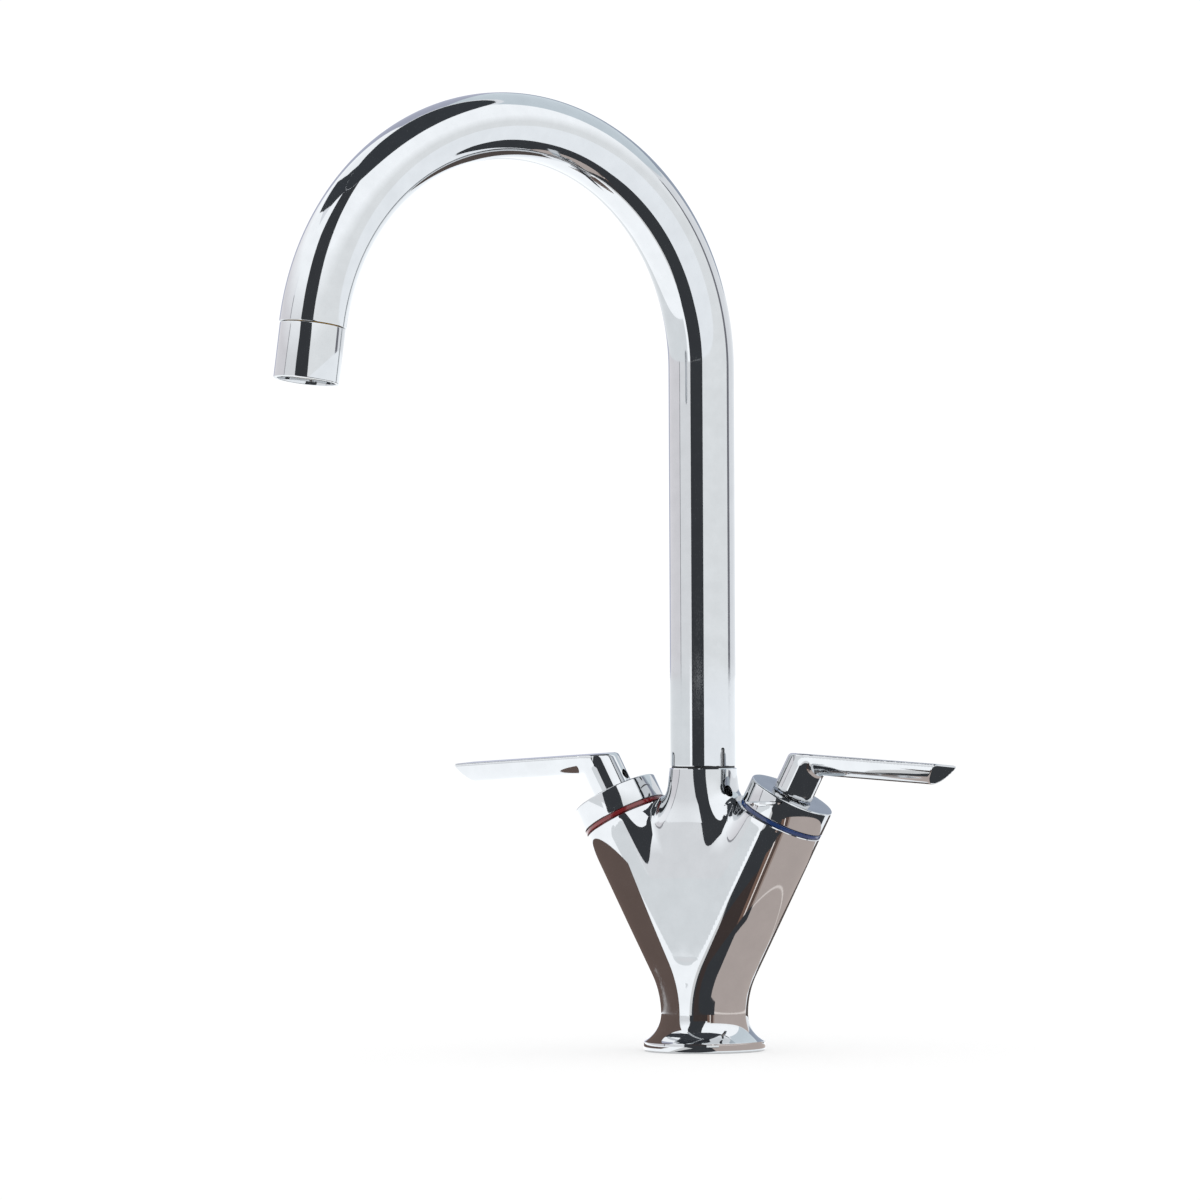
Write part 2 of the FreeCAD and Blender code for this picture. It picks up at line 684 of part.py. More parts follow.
def spindle_trim(name, place):
    """O-rings in the stem's grooves, and the clip that holds the spindle down."""
    section = "spindle_seal_section"
    radius = "spindle_diameter / 2 - spindle_clearance - spindle_seal_section / 2"
    lower = "arm_length - spindle_seal_depth"
    levels = [lower, lower + " + spindle_seal_pitch"]
    seal_rings(name + "_spindle_seals", radius, section, levels, place)
    inner = "spindle_diameter / 2 - clip_height"
    body = turned(name + "_spindle_clip",
                  [(inner, CLIP_BASE), ("clip_diameter / 2", CLIP_BASE),
                   ("clip_diameter / 2", CLIP_BASE + " + clip_height"), (inner, CLIP_BASE + " + clip_height")],
                  place)
    profile = outline(body, name + "_clip_mouth", "XZ_Plane",
                      [("0", CLIP_BASE + " - clip_height"), ("clip_diameter", CLIP_BASE + " - clip_height"),
                       ("clip_diameter", CLIP_BASE + " + clip_height * 2"),
                       ("0", CLIP_BASE + " + clip_height * 2")])
    mouth = body.newObject("PartDesign::Pocket", name + "_clip_mouth_cut")
    mouth.Profile = profile
    mouth.Midplane = True
    mouth.Type = "Length"
    bind(mouth, Length="clip_gap")
    doc.recompute()


# ---------------------------------------------------------------- lever

def bar_section(radius, edge, point):
    """Half round section of the bar: flat on top, with its two upper corners rounded."""
    across = math.sqrt((radius - edge) ** 2 - edge ** 2)
    share = radius / (radius - edge)
    turn = (math.pi / 2 + math.atan2(-edge, across)) / 2
    corner = (across + edge * math.cos(turn), edge * math.sin(turn) - edge)
    edges = [Part.LineSegment(point(-across, 0), point(across, 0)).toShape(),
             Part.Arc(point(across, 0), point(*corner), point(across * share, -edge * share)).toShape(),
             Part.Arc(point(across * share, -edge * share), point(0, -radius),
                      point(-across * share, -edge * share)).toShape(),
             Part.Arc(point(-across * share, -edge * share), point(-corner[0], corner[1]),
                      point(-across, 0)).toShape()]
    return Part.Face(Part.Wire(edges))


def lever(name, place):
    """Cast lever: a round hub on the spline and a half round bar with a flat top and a cut end."""
    radius = value("hub_diameter / 2")
    base = value(HUB_BASE)
    top = value(HUB_TOP)
    rise = math.radians(value("arm_tilt - lever_droop"))
    along = FreeCAD.Vector(math.cos(rise), 0, math.sin(rise))
    normal = FreeCAD.Vector(-math.sin(rise), 0, math.cos(rise))
    centre = UP * top
    length = value("lever_length")

    hub = Part.makeCylinder(radius, top - base + radius, UP * base)
    above = Part.makeBox(8 * radius, 4 * radius, 4 * radius)
    above.Placement = FreeCAD.Placement(centre - along * (4 * radius) - ACROSS * (2 * radius),
                                        FreeCAD.Rotation(along, ACROSS, normal, "XYZ"))
    hub = hub.cut(above)
    rim = [edge for edge in hub.Edges
           if all(abs((edge.valueAt(at) - centre).dot(normal)) < 1e-4
                  for at in (edge.FirstParameter, (edge.FirstParameter + edge.LastParameter) / 2))
           and edge.Length > radius]
    hub = hub.makeFillet(value("lever_edge"), rim)

    section = bar_section(radius, value("lever_edge"),
                          lambda across, up: centre + ACROSS * across + normal * up)
    bar = section.extrude(along * (length + radius))
    slope = math.radians(value("tip_slope"))
    past_way = along * math.cos(slope) - normal * math.sin(slope)
    past_up = along * math.sin(slope) + normal * math.cos(slope)
    past = Part.makeBox(4 * radius, 4 * radius, 8 * radius)
    corner = centre + along * length - ACROSS * (2 * radius) - past_up * (4 * radius)
    past.Placement = FreeCAD.Placement(corner, FreeCAD.Rotation(past_way, ACROSS, past_up, "XYZ"))
    solid = hub.fuse(bar.cut(past))

    bore = Part.makeCylinder(value("spline_diameter / 2 + hub_bore_clearance"),
                             value("spline_length + hub_clearance * 2"), UP * (base - value("hub_clearance")))
    screw = Part.makeCylinder(value("lever_screw_diameter / 2"), radius * 2,
                              UP * (base + value("lever_screw_height")), FreeCAD.Vector(-1, 0, 0))
    item = doc.addObject("Part::Feature", name + "_lever")
    item.Shape = solid.cut([bore, screw]).removeSplitter()
    keep(item, name + "_lever", place)


def lever_screw(name, place):
    """Grub screw in the hub's inner side, which holds the lever on the spline."""
    start = "spline_diameter / 2 + hub_bore_clearance"
    end = "hub_diameter / 2 - lever_screw_recess"
    screw = doc.addObject("Part::Cylinder", name + "_screw_blank")
    bind(screw, Radius="lever_screw_diameter / 2 - screw_clearance", Height=f"({end}) - ({start})")
    socket = doc.addObject("Part::Prism", name + "_screw_socket")
    socket.Polygon = 6
    bind(socket, Circumradius="lever_screw_diameter / 4", Height="lever_screw_diameter")
    socket.setExpression("Placement.Base.z", expression(f"({end}) - ({start}) - lever_screw_diameter / 3"))
    cut = difference(name + "_lever_screw", screw, socket)
    level = value(HUB_BASE) + value("lever_screw_height")
    inwards = FreeCAD.Placement(FreeCAD.Vector(-value(start), 0, level), FreeCAD.Rotation(UP, FreeCAD.Vector(-1, 0, 0)))
    keep(cut, name + "_lever_screw", place.multiply(inwards))


# ---------------------------------------------------------------- spout

def spout_pipe(name, radius, reach):
    """A solid swan neck of one radius: upright, bent over, and cut off square."""
    upright = doc.addObject("Part::Cylinder", name + "_upright")
    bind(upright, Radius=radius, Height=f"spout_straight_top - ({TUBE_BASE}) + {reach}")
    upright.setExpression("Placement.Base.z", expression(f"{TUBE_BASE} - {reach}"))
    bend = doc.addObject("Part::Torus", name + "_bend")
    bend.Angle1 = -180
    bend.Angle2 = 180
    bind(bend, Radius1="spout_bend", Radius2=radius, Angle3="spout_sweep")
    turned_up = FreeCAD.Rotation(FreeCAD.Vector(1, 0, 0), 90) * FreeCAD.Rotation(UP, 180 - value("spout_sweep"))
    bend.Placement = FreeCAD.Placement(FreeCAD.Vector(value("spout_bend"), 0, value("spout_straight_top")), turned_up)
    return joined(name, [upright, bend])


def spout_tube():
    """Plated brass tube, bent to a swan neck, with a key slot at its foot."""
    outer = spout_pipe("spout_outside", "spout_diameter / 2", "0")
    inner = spout_pipe("spout_inside", TUBE_BORE_RADIUS, "spout_wall")
    hollow = difference("spout_hollow", outer, inner)
    slot = doc.addObject("Part::Box", "key_slot_block")
    bind(slot, Length="key_slot_width", Width="spout_diameter", Height="key_slot_height - key_slot_width / 2 + 1")
    slot.setExpression("Placement.Base.x", expression("-key_slot_width / 2"))
    slot.setExpression("Placement.Base.z", expression(f"{TUBE_BASE} - 1"))
    crown = cylinder("key_slot_crown", "key_slot_width / 2", "spout_diameter",
                     f"{TUBE_BASE} + key_slot_height - key_slot_width / 2", ACROSS)
    cutter = joined("key_slot", [slot, crown])
    keep(difference("spout_tube", hollow, cutter), "spout_tube", spout_place())


def spout_nipple():
    """Brass nipple fixed in the tube, which turns in the stub and carries the seals."""
    insert = TUBE_BORE_RADIUS + " - ferrule_clearance"
    bore = "nipple_bore / 2"
    groove = NIPPLE_RADIUS + " - nipple_seal_section"
    screw_groove = NIPPLE_RADIUS + " - screw_groove_depth"
    corners = [(bore, NIPPLE_BASE), (NIPPLE_RADIUS, NIPPLE_BASE)]
    for number in range(2):
        middle = f"{NIPPLE_SEALS} + nipple_seal_pitch * {number}"
        low = middle + " - nipple_seal_section * 0.7"
        high = middle + " + nipple_seal_section * 0.7"
        corners += [(NIPPLE_RADIUS, low), (groove, low), (groove, high), (NIPPLE_RADIUS, high)]
    low = GRUB_LEVEL + " - screw_groove_width / 2"
    high = GRUB_LEVEL + " + screw_groove_width / 2"
    corners += [(NIPPLE_RADIUS, low), (screw_groove, low), (screw_groove, high), (NIPPLE_RADIUS, high),
                (NIPPLE_RADIUS, GLIDE_TOP + " + nipple_clearance"), (insert, GLIDE_TOP + " + nipple_clearance"),
                (insert, TUBE_BASE + " + nipple_insert"), (bore, TUBE_BASE + " + nipple_insert")]
    body = turned("nipple_blank", corners)
    key = doc.addObject("Part::Box", "nipple_key")
    bind(key, Length="key_slot_width - 2 * ferrule_clearance", Width="key_depth + spout_wall",
         Height="key_slot_height - key_slot_width / 2")
    key.setExpression("Placement.Base.x", expression("ferrule_clearance - key_slot_width / 2"))
    key.setExpression("Placement.Base.y", expression(f"{TUBE_BORE_RADIUS} - spout_wall"))
    key.setExpression("Placement.Base.z", expression(TUBE_BASE))
    keep(joined("spout_nipple_with_key", [body, key]), "spout_nipple", spout_place())
    radius = NIPPLE_RADIUS + " - nipple_seal_section / 2"
    levels = [NIPPLE_SEALS, NIPPLE_SEALS + " + nipple_seal_pitch"]
    seal_rings("spout_seals", radius, "nipple_seal_section", levels, spout_place())


def glide_ring():
    """Thin plastic ring on the stub, on which the spout turns."""
    ring("glide_ring", "spout_diameter / 2 - glide_ring_margin", "socket_bore / 2 + glide_ring_margin",
         "stub_top", GLIDE_TOP, FreeCAD.Placement())


# ---------------------------------------------------------------- aerator

def spout_ferrule():
    """Brass end fitting in the tube, with a threaded nose for the aerator housing."""
    insert = TUBE_BORE_RADIUS + " - ferrule_clearance"
    nose = HOUSING_BORE_RADIUS + " - ferrule_clearance"
    relief = insert + " - ferrule_relief"
    corners = [("ferrule_bore / 2", "-ferrule_insert"), (relief, "-ferrule_insert"),
               (relief, "-ferrule_shoulder"), (insert, "-ferrule_shoulder"), (insert, "0"),
               (nose, "0"), (nose, "ferrule_nose"), ("ferrule_bore / 2", "ferrule_nose")]
    turned("spout_ferrule", corners, spout_end())


def aerator_housing():
    """Plated collar that screws onto the ferrule and holds the aerator against its washer."""
    outer = "housing_diameter / 2"
    bore = HOUSING_BORE_RADIUS
    ledge_top = LEDGE_LEVEL + " + ledge_height"
    corners = [(bore, "housing_gap"), (outer + " - housing_edge", "housing_gap"),
               (outer, "housing_gap + housing_edge"), (outer, "housing_length - housing_edge"),
               (outer + " - housing_edge", "housing_length"), (bore, "housing_length"), (bore, ledge_top),
               (bore + " - ledge_width", ledge_top), (bore + " - ledge_width", LEDGE_LEVEL),
               (bore, LEDGE_LEVEL)]
    turned("aerator_housing", corners, spout_end())


def aerator_insert():
    """Plastic aerator that sits on the housing's ledge, with a perforated face."""
    body_radius = HOUSING_BORE_RADIUS + " - ferrule_clearance"
    nose = HOUSING_BORE_RADIUS + " - ledge_width - ferrule_clearance"
    inside = nose + " - aerator_face"
    seat = LEDGE_LEVEL + " - ferrule_clearance"
    face = LEDGE_LEVEL + " + aerator_nose"
    corners = [(inside, INSERT_BASE), (body_radius, INSERT_BASE), (body_radius, seat), (nose, seat),
               (nose, face), ("0", face), ("0", face + " - aerator_face"), (inside, face + " - aerator_face")]
    body = turned("aerator_insert", corners, spout_end())
    holes = body.newObject("Sketcher::SketchObject", "aerator_hole_places")
    holes.AttachmentSupport = [(origin_plane(body, "XY_Plane"), "")]
    holes.MapMode = "FlatFace"
    for index, share in enumerate((0.4, 0.8)):
        text = f"({inside}) * {share}"
        holes.addGeometry(Part.Circle(FreeCAD.Vector(value(text), 0, 0), UP, value("aerator_hole / 2")), False)
        holes.addConstraint(Sketcher.Constraint("PointOnObject", index, 3, -1))
        number = holes.addConstraint(Sketcher.Constraint("DistanceX", -1, 1, index, 3, value(text)))
        holes.setExpression(f"Constraints[{number}]", expression(text))
        number = holes.addConstraint(Sketcher.Constraint("Radius", index, value("aerator_hole / 2")))
        holes.setExpression(f"Constraints[{number}]", expression("aerator_hole / 2"))
    pocket = body.newObject("PartDesign::Pocket", "aerator_holes")
    pocket.Profile = holes
    pocket.Type = "ThroughAll"
    pocket.Midplane = True
    doc.recompute()
    pattern = body.newObject("PartDesign::PolarPattern", "aerator_hole_circle")
    pattern.Originals = [pocket]
    pattern.Axis = (holes, ["N_Axis"])
    pattern.Angle = 360
    pattern.Occurrences = 12
    body.Tip = pattern
    before = body.Shape.Volume
    doc.recompute()
    if not body.Shape.Volume < before:
        raise RuntimeError("the aerator has no holes")


def aerator_washer():
    """Rubber washer between the ferrule and the aerator."""
    ring("aerator_washer", HOUSING_BORE_RADIUS + " - ferrule_clearance * 2", "ferrule_bore / 2",
         WASHER_BASE, WASHER_BASE + " + aerator_washer_height", spout_end())


# ---------------------------------------------------------------- the whole tap

def build():
    """Make every piece, from the deck upwards."""
    cast_body()
    base_seal()
    spout_grub_screw()
    glide_ring()
    for name, side in (("hot", -1), ("cold", 1)):
        place = arm_place(side)
        indicator_ring(name, place)
        valve_cap(name, place)
        headwork(name, place)
        seals_and_discs(name, place)
        turned_place = arm_place(side, value(name + "_lever_clocking"))
        ceramic_disc(name + "_moving_disc", MOVING_DISC_BASE, "moving_disc_height", turned_place)
        spindle(name, turned_place)
        spindle_trim(name, turned_place)
        lever(name, turned_place)
        lever_screw(name, turned_place)
    spout_tube()
    spout_nipple()
    spout_ferrule()
    aerator_housing()
    aerator_washer()
    aerator_insert()
    doc.recompute()


def check_and_write():
    """Refuse a broken model, then write one file for each piece."""
    for item in doc.Objects:
        if "Invalid" in item.State or "Error" in item.State:
            raise RuntimeError(f"{item.Name} did not compute")
    for item in PARTS:
        shape = item.Shape
        if shape.isNull() or not shape.isValid() or not shape.Solids:
            raise RuntimeError(f"{item.Label} is not a sound solid")
    os.makedirs("parts", exist_ok=True)
    for item in PARTS:
        item.Shape.exportStep(f"parts/{item.Label}.step")
        box = item.Shape.BoundBox
        print(f"{item.Label:24s} {len(item.Shape.Solids)} {item.Shape.Volume:10.1f}"
              f" z {box.ZMin:7.2f} to {box.ZMax:7.2f}")


build()
check_and_write()
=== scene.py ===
import bpy, bmesh
import numpy as np
from math import sin, cos, tan, pi, radians
from mathutils import Matrix, Vector


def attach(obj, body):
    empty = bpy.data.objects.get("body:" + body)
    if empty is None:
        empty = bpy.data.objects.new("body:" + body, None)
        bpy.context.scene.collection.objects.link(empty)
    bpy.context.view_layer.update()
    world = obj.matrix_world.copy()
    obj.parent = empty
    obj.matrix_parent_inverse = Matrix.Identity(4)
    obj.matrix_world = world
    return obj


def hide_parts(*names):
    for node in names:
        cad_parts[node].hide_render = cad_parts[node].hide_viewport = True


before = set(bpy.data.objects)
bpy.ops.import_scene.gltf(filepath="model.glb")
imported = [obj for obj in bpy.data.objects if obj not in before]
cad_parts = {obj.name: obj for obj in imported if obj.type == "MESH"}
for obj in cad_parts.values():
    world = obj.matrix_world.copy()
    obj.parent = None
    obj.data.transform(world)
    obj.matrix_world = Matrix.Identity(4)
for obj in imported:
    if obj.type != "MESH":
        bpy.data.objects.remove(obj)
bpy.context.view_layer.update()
scene = bpy.context.scene
MM = 0.001


# ---- Cast body ------------------------------------------------------------------------------
# One brass casting: a flared foot, two valve arms and the stub for the spout, blended together
# by a smooth palm front and back.  It is bored from the arm ends, the stub and the underside,
# polished, and then plated with nickel and chrome.
ARM_TILT = radians(27.3)
ARM_R = 17.3
ARM_ROOT = 26.8            # height where the arm axes meet
ARM_BEND = 50.0            # radius at which an arm leaves the waist
ARM_LENGTH = 72.8          # from the meeting point to the coloured ring
WAIST = ARM_ROOT - ARM_BEND * tan(ARM_TILT / 2)
STUB_R, STUB_TOP = 13.3, 112.0
STUB_LEAN = 0.1            # how far the stub's front comes forward for each mm down
STUB_EASE = 4.0            # way down over which the lean sets in
STUB_SPREAD = 500.0        # the stub widens by the square of the way down over this
STUB_POWER = 2.15          # 2 would be a round section, and more is squarer
STUB_SQUARER, STUB_SQUARE_DROP = 1.5, 27.0        # how much squarer the section gets, this far down
WEB_FULL, WEB_TOP = 66.0, 98.5                    # heights where the web starts to thin, and ends
WEB_POWER = 2.4            # roundness of its top: 2 would be an ellipse
WEB_HOLLOW = 14.5          # the web is hollowed out to here beside the stub
WEB_FLAT = 5.5             # and not at all from this far short of an arm's middle
WEB_FALL = 28.0            # past an arm's middle it falls back by the square of the way over this
WEB_OVERLAP = 7.0          # how far it reaches past an arm's middle
ARMS_BLEND, WEB_BLEND, STUB_BLEND = 3.0, 6.0, 7.0     # widths of the rounded inner corners
ARM_SPARE, STUB_SPARE, FOOT_SPARE = 7.0, 6.0, 4.0     # cast longer by these, and cut back below
FOOT_R, FOOT_BAND, FOOT_EDGE = 24.0, 4.2, 0.6
BODY_STEP = 1.0            # spacing of the mesh's points
reach, rise = FOOT_R - FOOT_EDGE - ARM_R, WAIST - FOOT_BAND
FLARE_R = (reach ** 2 + rise ** 2) / (2 * reach)
GRUB_TURN = radians(68 - 90)
GRUB_LEVEL = 103.0


def rounded_union(a, b, width):
    """Smaller of two distances, with the corner between them filled over a width."""
    width = np.maximum(width, 1e-6)
    near = np.clip(1 - np.abs(a - b) / width, 0, 1)
    return np.minimum(a, b) - near ** 2 * width / 4


def eased(value, start, end):
    """0 before start, 1 after end, and smooth between."""
    t = np.clip((value - start) / (end - start), 0, 1)
    return t * t * (3 - 2 * t)


def arm_skin(x, y, z, side):
    """Distance to one arm: upright at the waist, bent outwards, then straight."""
    x = side * x
    turn = np.arctan2(z - WAIST, ARM_BEND - x)
    bent = np.abs(np.hypot(x - ARM_BEND, z - WAIST) - ARM_BEND)
    straight = np.abs(x * cos(ARM_TILT) - (z - ARM_ROOT) * sin(ARM_TILT))
    off = np.where(turn < 0, np.abs(x), np.where(turn < ARM_TILT, bent, straight))
    along = x * sin(ARM_TILT) + (z - ARM_ROOT) * cos(ARM_TILT)
    return np.maximum(np.hypot(off, y) - ARM_R, along - ARM_LENGTH - ARM_SPARE)


def arm_way(x, y, z, side):
    """Way out of one straight arm at points."""
    off = side * x * cos(ARM_TILT) - (z - ARM_ROOT) * sin(ARM_TILT)
    radius = np.hypot(off, y) + 1e-9
    return np.stack([side * off / radius * cos(ARM_TILT), y / radius, -off / radius * sin(ARM_TILT)])


def stub_skin(x, y, z):
    """Distance to the stub, round at its top and squarer and deeper below."""
    drop = np.clip(STUB_TOP - z, 0, None)
    wide = STUB_R + drop ** 2 / STUB_SPREAD
    deep = np.minimum(STUB_R + STUB_LEAN * (np.hypot(drop, STUB_EASE) - STUB_EASE), ARM_R)
    power = STUB_POWER + STUB_SQUARER * eased(drop, 0, STUB_SQUARE_DROP)
    across, through = np.abs(x) / wide + 1e-9, np.abs(y) / deep + 1e-9
    level = (across ** power + through ** power) ** (1 / power)
    scale = level ** (1 - power)
    slope = scale * np.hypot(across ** (power - 1) / wide, through ** (power - 1) / deep)
    return np.maximum.reduce([(level - 1) / slope, z - STUB_TOP - STUB_SPARE, WEB_FULL - 2 - z])


def web_skin(x, y, z):
    """Distance to the web between the arms, its way out, and how much thinner it is than they are.

    It is flush with the arms below, and thins to a rounded top that is hollowed beside the stub."""
    front = np.clip((z - ARM_ROOT) * tan(ARM_TILT), 0, None)
    flat = np.maximum(front - WEB_FLAT, WEB_HOLLOW + 1)
    u = np.clip((flat - np.abs(x)) / (flat - WEB_HOLLOW), 0, 1)
    hollow = u * u * (3 - 2 * u)
    climb = np.clip((z - WEB_FULL) / (WEB_TOP - WEB_FULL), 0, None)
    thin = ARM_R * np.clip(1 - climb ** WEB_POWER, 0, 1) ** (1 / WEB_POWER)
    past = np.clip((np.abs(x) - front) * cos(ARM_TILT), 0, None)
    depth = np.abs(y) - (ARM_R - thin) * (1 - hollow) + past ** 2 / WEB_FALL
    through = np.clip(depth, 0, None) / ARM_R + 1e-9
    level = (through ** WEB_POWER + climb ** WEB_POWER) ** (1 / WEB_POWER)
    scale = level ** (1 - WEB_POWER)
    ly = scale * through ** (WEB_POWER - 1) / ARM_R
    lz = scale * climb ** (WEB_POWER - 1) / (WEB_TOP - WEB_FULL)
    lx = -ly * (ARM_R - thin) * 6 * u * (1 - u) / (flat - WEB_HOLLOW)
    way = np.stack([np.sign(x) * lx, np.sign(y) * ly, lz])
    size = np.sqrt((way ** 2).sum(0)) + 1e-9
    skin = (level - 1) / np.hypot(ly, lz)
    side = np.abs(x) - front - WEB_OVERLAP * eased(z, 27, 45)
    return np.maximum.reduce([skin, side * cos(ARM_TILT), ARM_ROOT - z]), way / size, ARM_R - thin


def body_skin(p):
    """Distance from points, in mm, to the polished outside of the casting."""
    x, y, z = p.T
    radius = np.hypot(x, y)
    flare = FLARE_R - np.hypot(radius - ARM_R - FLARE_R, z - WAIST)
    flare = np.where(radius > ARM_R + FLARE_R, z - WAIST + FLARE_R, flare)
    foot = np.maximum.reduce([flare, -3 - z, radius - FOOT_R - FOOT_SPARE])
    cold, hot = arm_skin(x, y, z, 1), arm_skin(x, y, z, -1)
    arms = rounded_union(cold, hot, ARMS_BLEND * eased(z, 26, 40))
    arms_way = np.where(cold < hot, arm_way(x, y, z, 1), arm_way(x, y, z, -1))
    web, web_way, thinned = web_skin(x, y, z)
    # the web and an arm are blended only where they meet at an angle, not where they are flush
    corner = np.clip(3 * (1 - (arms_way * web_way).sum(0)) - 0.15, 0, 1)
    lower = rounded_union(arms, web, WEB_BLEND * corner * eased(z, 84, 95))
    # and the stub flows into the web as widely as the web has thinned
    upper = rounded_union(lower, stub_skin(x, y, z), np.minimum(1.5 * thinned, STUB_BLEND))
    return np.where(z < WAIST, foot, upper)


def steepest(skin, p, step=0.01):
    """Value and gradient of a distance at points."""
    value = skin(p)
    slope = np.stack([skin(p + np.eye(3)[i] * step) - skin(p - np.eye(3)[i] * step) for i in range(3)], 1)
    return value, slope / (2 * step)


SKIN_ROUNDS, SPREAD_ROUNDS = 14, 10       # rounds of moving the points, and how many spread them first
SPREAD_PULL = 0.6                         # part of the way to the middle of its neighbours


def skin_mesh(skin, low, high, step):
    """Points and four sided faces over a distance's zero level, spread evenly and exactly on it."""
    axes = [np.arange(a, b + step, step) for a, b in zip(low, high)]
    grid = np.stack(np.meshgrid(*axes, indexing="ij"), -1)
    inside = skin(grid.reshape(-1, 3)).reshape(grid.shape[:3]) < 0
    nx, ny, nz = np.array(inside.shape) - 1
    corners = sum(inside[i:nx + i, j:ny + j, k:nz + k].astype(int)
                  for i in (0, 1) for j in (0, 1) for k in (0, 1))
    mixed = (corners > 0) & (corners < 8)
    number = np.full(mixed.shape, -1)
    number[mixed] = np.arange(mixed.sum())
    points = np.argwhere(mixed) * step + np.array(low) + step / 2
    faces = []
    for axis in range(3):
        first, second = [(1, 2), (2, 0), (0, 1)][axis]
        a = np.take(inside, range(inside.shape[axis] - 1), axis)
        b = np.take(inside, range(1, inside.shape[axis]), axis)
        for turned, change in ((False, a & ~b), (True, ~a & b)):
            cell = np.argwhere(change)
            cell = cell[(cell[:, first] > 0) & (cell[:, second] > 0)]
            loop = []
            for back1, back2 in ((1, 1), (0, 1), (0, 0), (1, 0)):
                at = cell.copy()
                at[:, first] -= back1
                at[:, second] -= back2
                loop.append(number[tuple(at.T)])
            quad = np.stack(loop[::-1] if turned else loop, 1)
            faces.append(quad)
    faces = np.concatenate(faces)
    pairs = np.concatenate([faces[:, [0, 1]], faces[:, [1, 2]], faces[:, [2, 3]], faces[:, [3, 0]]])
    pairs = np.concatenate([pairs, pairs[:, ::-1]])
    count = np.bincount(pairs[:, 0], minlength=len(points))[:, None]
    for turn in range(SKIN_ROUNDS):
        if turn < SPREAD_ROUNDS:
            near = points[pairs[:, 1]]
            total = np.stack([np.bincount(pairs[:, 0], near[:, i], len(points)) for i in range(3)], 1)
            points = points + SPREAD_PULL * (total / np.maximum(count, 1) - points)
        for _ in range(2):
            value, slope = steepest(skin, points)
            points = points - slope * (value / np.maximum((slope ** 2).sum(1), 1e-6))[:, None]
    return points, faces


def new_piece(name, points, faces):
    """A mesh object from points in mm."""
    mesh = bpy.data.meshes.new(name)
    mesh.from_pydata((np.asarray(points) * MM).tolist(), [], [list(map(int, face)) for face in faces])
    mesh.validate()
    piece = bpy.data.objects.new(name, mesh)
    scene.collection.objects.link(piece)
    return piece


def turned(name, profile, place=Matrix(), sides=128):
    """A piece turned about Z from (radius, height) corners in mm, moved to its place."""
    profile = [tuple(map(float, corner)) for corner in profile]
    points, rows = [], []
    for radius, height in profile:
        if radius < 1e-6:
            rows.append([len(points)] * sides)
            points.append((0, 0, height))
        else:
            rows.append(list(range(len(points), len(points) + sides)))
            points += [(radius * cos(2 * pi * i / sides), radius * sin(2 * pi * i / sides), height)
                       for i in range(sides)]
    faces = []
    for low, high in zip(rows, rows[1:] + rows[:1]):
        for i in range(sides):
            j = (i + 1) % sides
            face = list(dict.fromkeys([low[i], low[j], high[j], high[i]]))
            if len(face) > 2:
                faces.append(face)
    piece = new_piece(name, points, faces)
    piece.data.transform(Matrix.Scale(MM, 4) @ place @ Matrix.Scale(1 / MM, 4))
    face_outwards(piece.data)
    return piece


def face_outwards(mesh):
    """Turn a closed mesh's faces outwards."""
    work = bmesh.new()
    work.from_mesh(mesh)
    bmesh.ops.recalc_face_normals(work, faces=work.faces)
    work.to_mesh(mesh)
    work.free()


def smooth(piece, angle=32):
    """Smooth faces, with edges sharper than an angle left crisp."""
    mesh = piece.data
    mesh.polygons.foreach_set("use_smooth", [True] * len(mesh.polygons))
    mesh.set_sharp_from_angle(angle=radians(angle))
    return piece


def carve(piece, cutter):
    """Take a cutter's volume out of a piece, and throw the cutter away."""
    cut = piece.modifiers.new("cut", "BOOLEAN")
    cut.operation = "DIFFERENCE"
    cut.solver = "EXACT"
    cut.object = cutter
    shown = bpy.context.evaluated_depsgraph_get()
    made = bpy.data.meshes.new_from_object(piece.evaluated_get(shown))
    piece.modifiers.clear()
    old = piece.data
    piece.data = made
    bpy.data.meshes.remove(old)
    bpy.data.objects.remove(cutter)
    return piece


def rounding(centre, radius, start, end, steps=5):
    """Corners of a rounded edge in a profile, from one angle to another in degrees."""
    angles = [radians(start + (end - start) * i / steps) for i in range(steps + 1)]
    return [(centre[0] + radius * cos(a), centre[1] + radius * sin(a)) for a in angles]


def arm_place(side, turn=0.0):
    """Place on the cold arm (side 1) or the hot arm (side -1), with Z along the arm."""
    half = Matrix.Rotation(0 if side > 0 else pi, 4, "Z")
    return (Matrix.Translation((0, 0, ARM_ROOT)) @ half @ Matrix.Rotation(ARM_TILT, 4, "Y")
            @ Matrix.Rotation(radians(turn), 4, "Z"))


points, faces = skin_mesh(body_skin, (-56, -29, -4.5), (56, 29, 120), BODY_STEP)
body = new_piece("cast_body", points, faces)
face_outwards(body.data)
valve_bore = [(0, 36.7), (9, 36.7), (9, 52), (10.5, 52), (10.5, 67), (14.3, 67), (14.3, ARM_LENGTH - 0.3),
              (14.6, ARM_LENGTH), (ARM_R - 0.3, ARM_LENGTH), (ARM_R + 0.2, ARM_LENGTH - 0.5),
              (19.5, ARM_LENGTH - 0.5), (19.5, 100), (0, 100)]
stub_bore = [(0, 69), (7, 69), (7, 84), (10, 84), (10, STUB_TOP - 0.3), (10.3, STUB_TOP),
             (STUB_R - 0.25, STUB_TOP), (STUB_R + 0.15, STUB_TOP - 0.4), (16, STUB_TOP - 0.4), (16, 130),
             (0, 130)]
seal_groove = [(0, -7), (28, -7), (28, 0), (22.2, 0), (22.2, 2.4), (19.2, 2.4), (19.2, 0), (0, 0)]
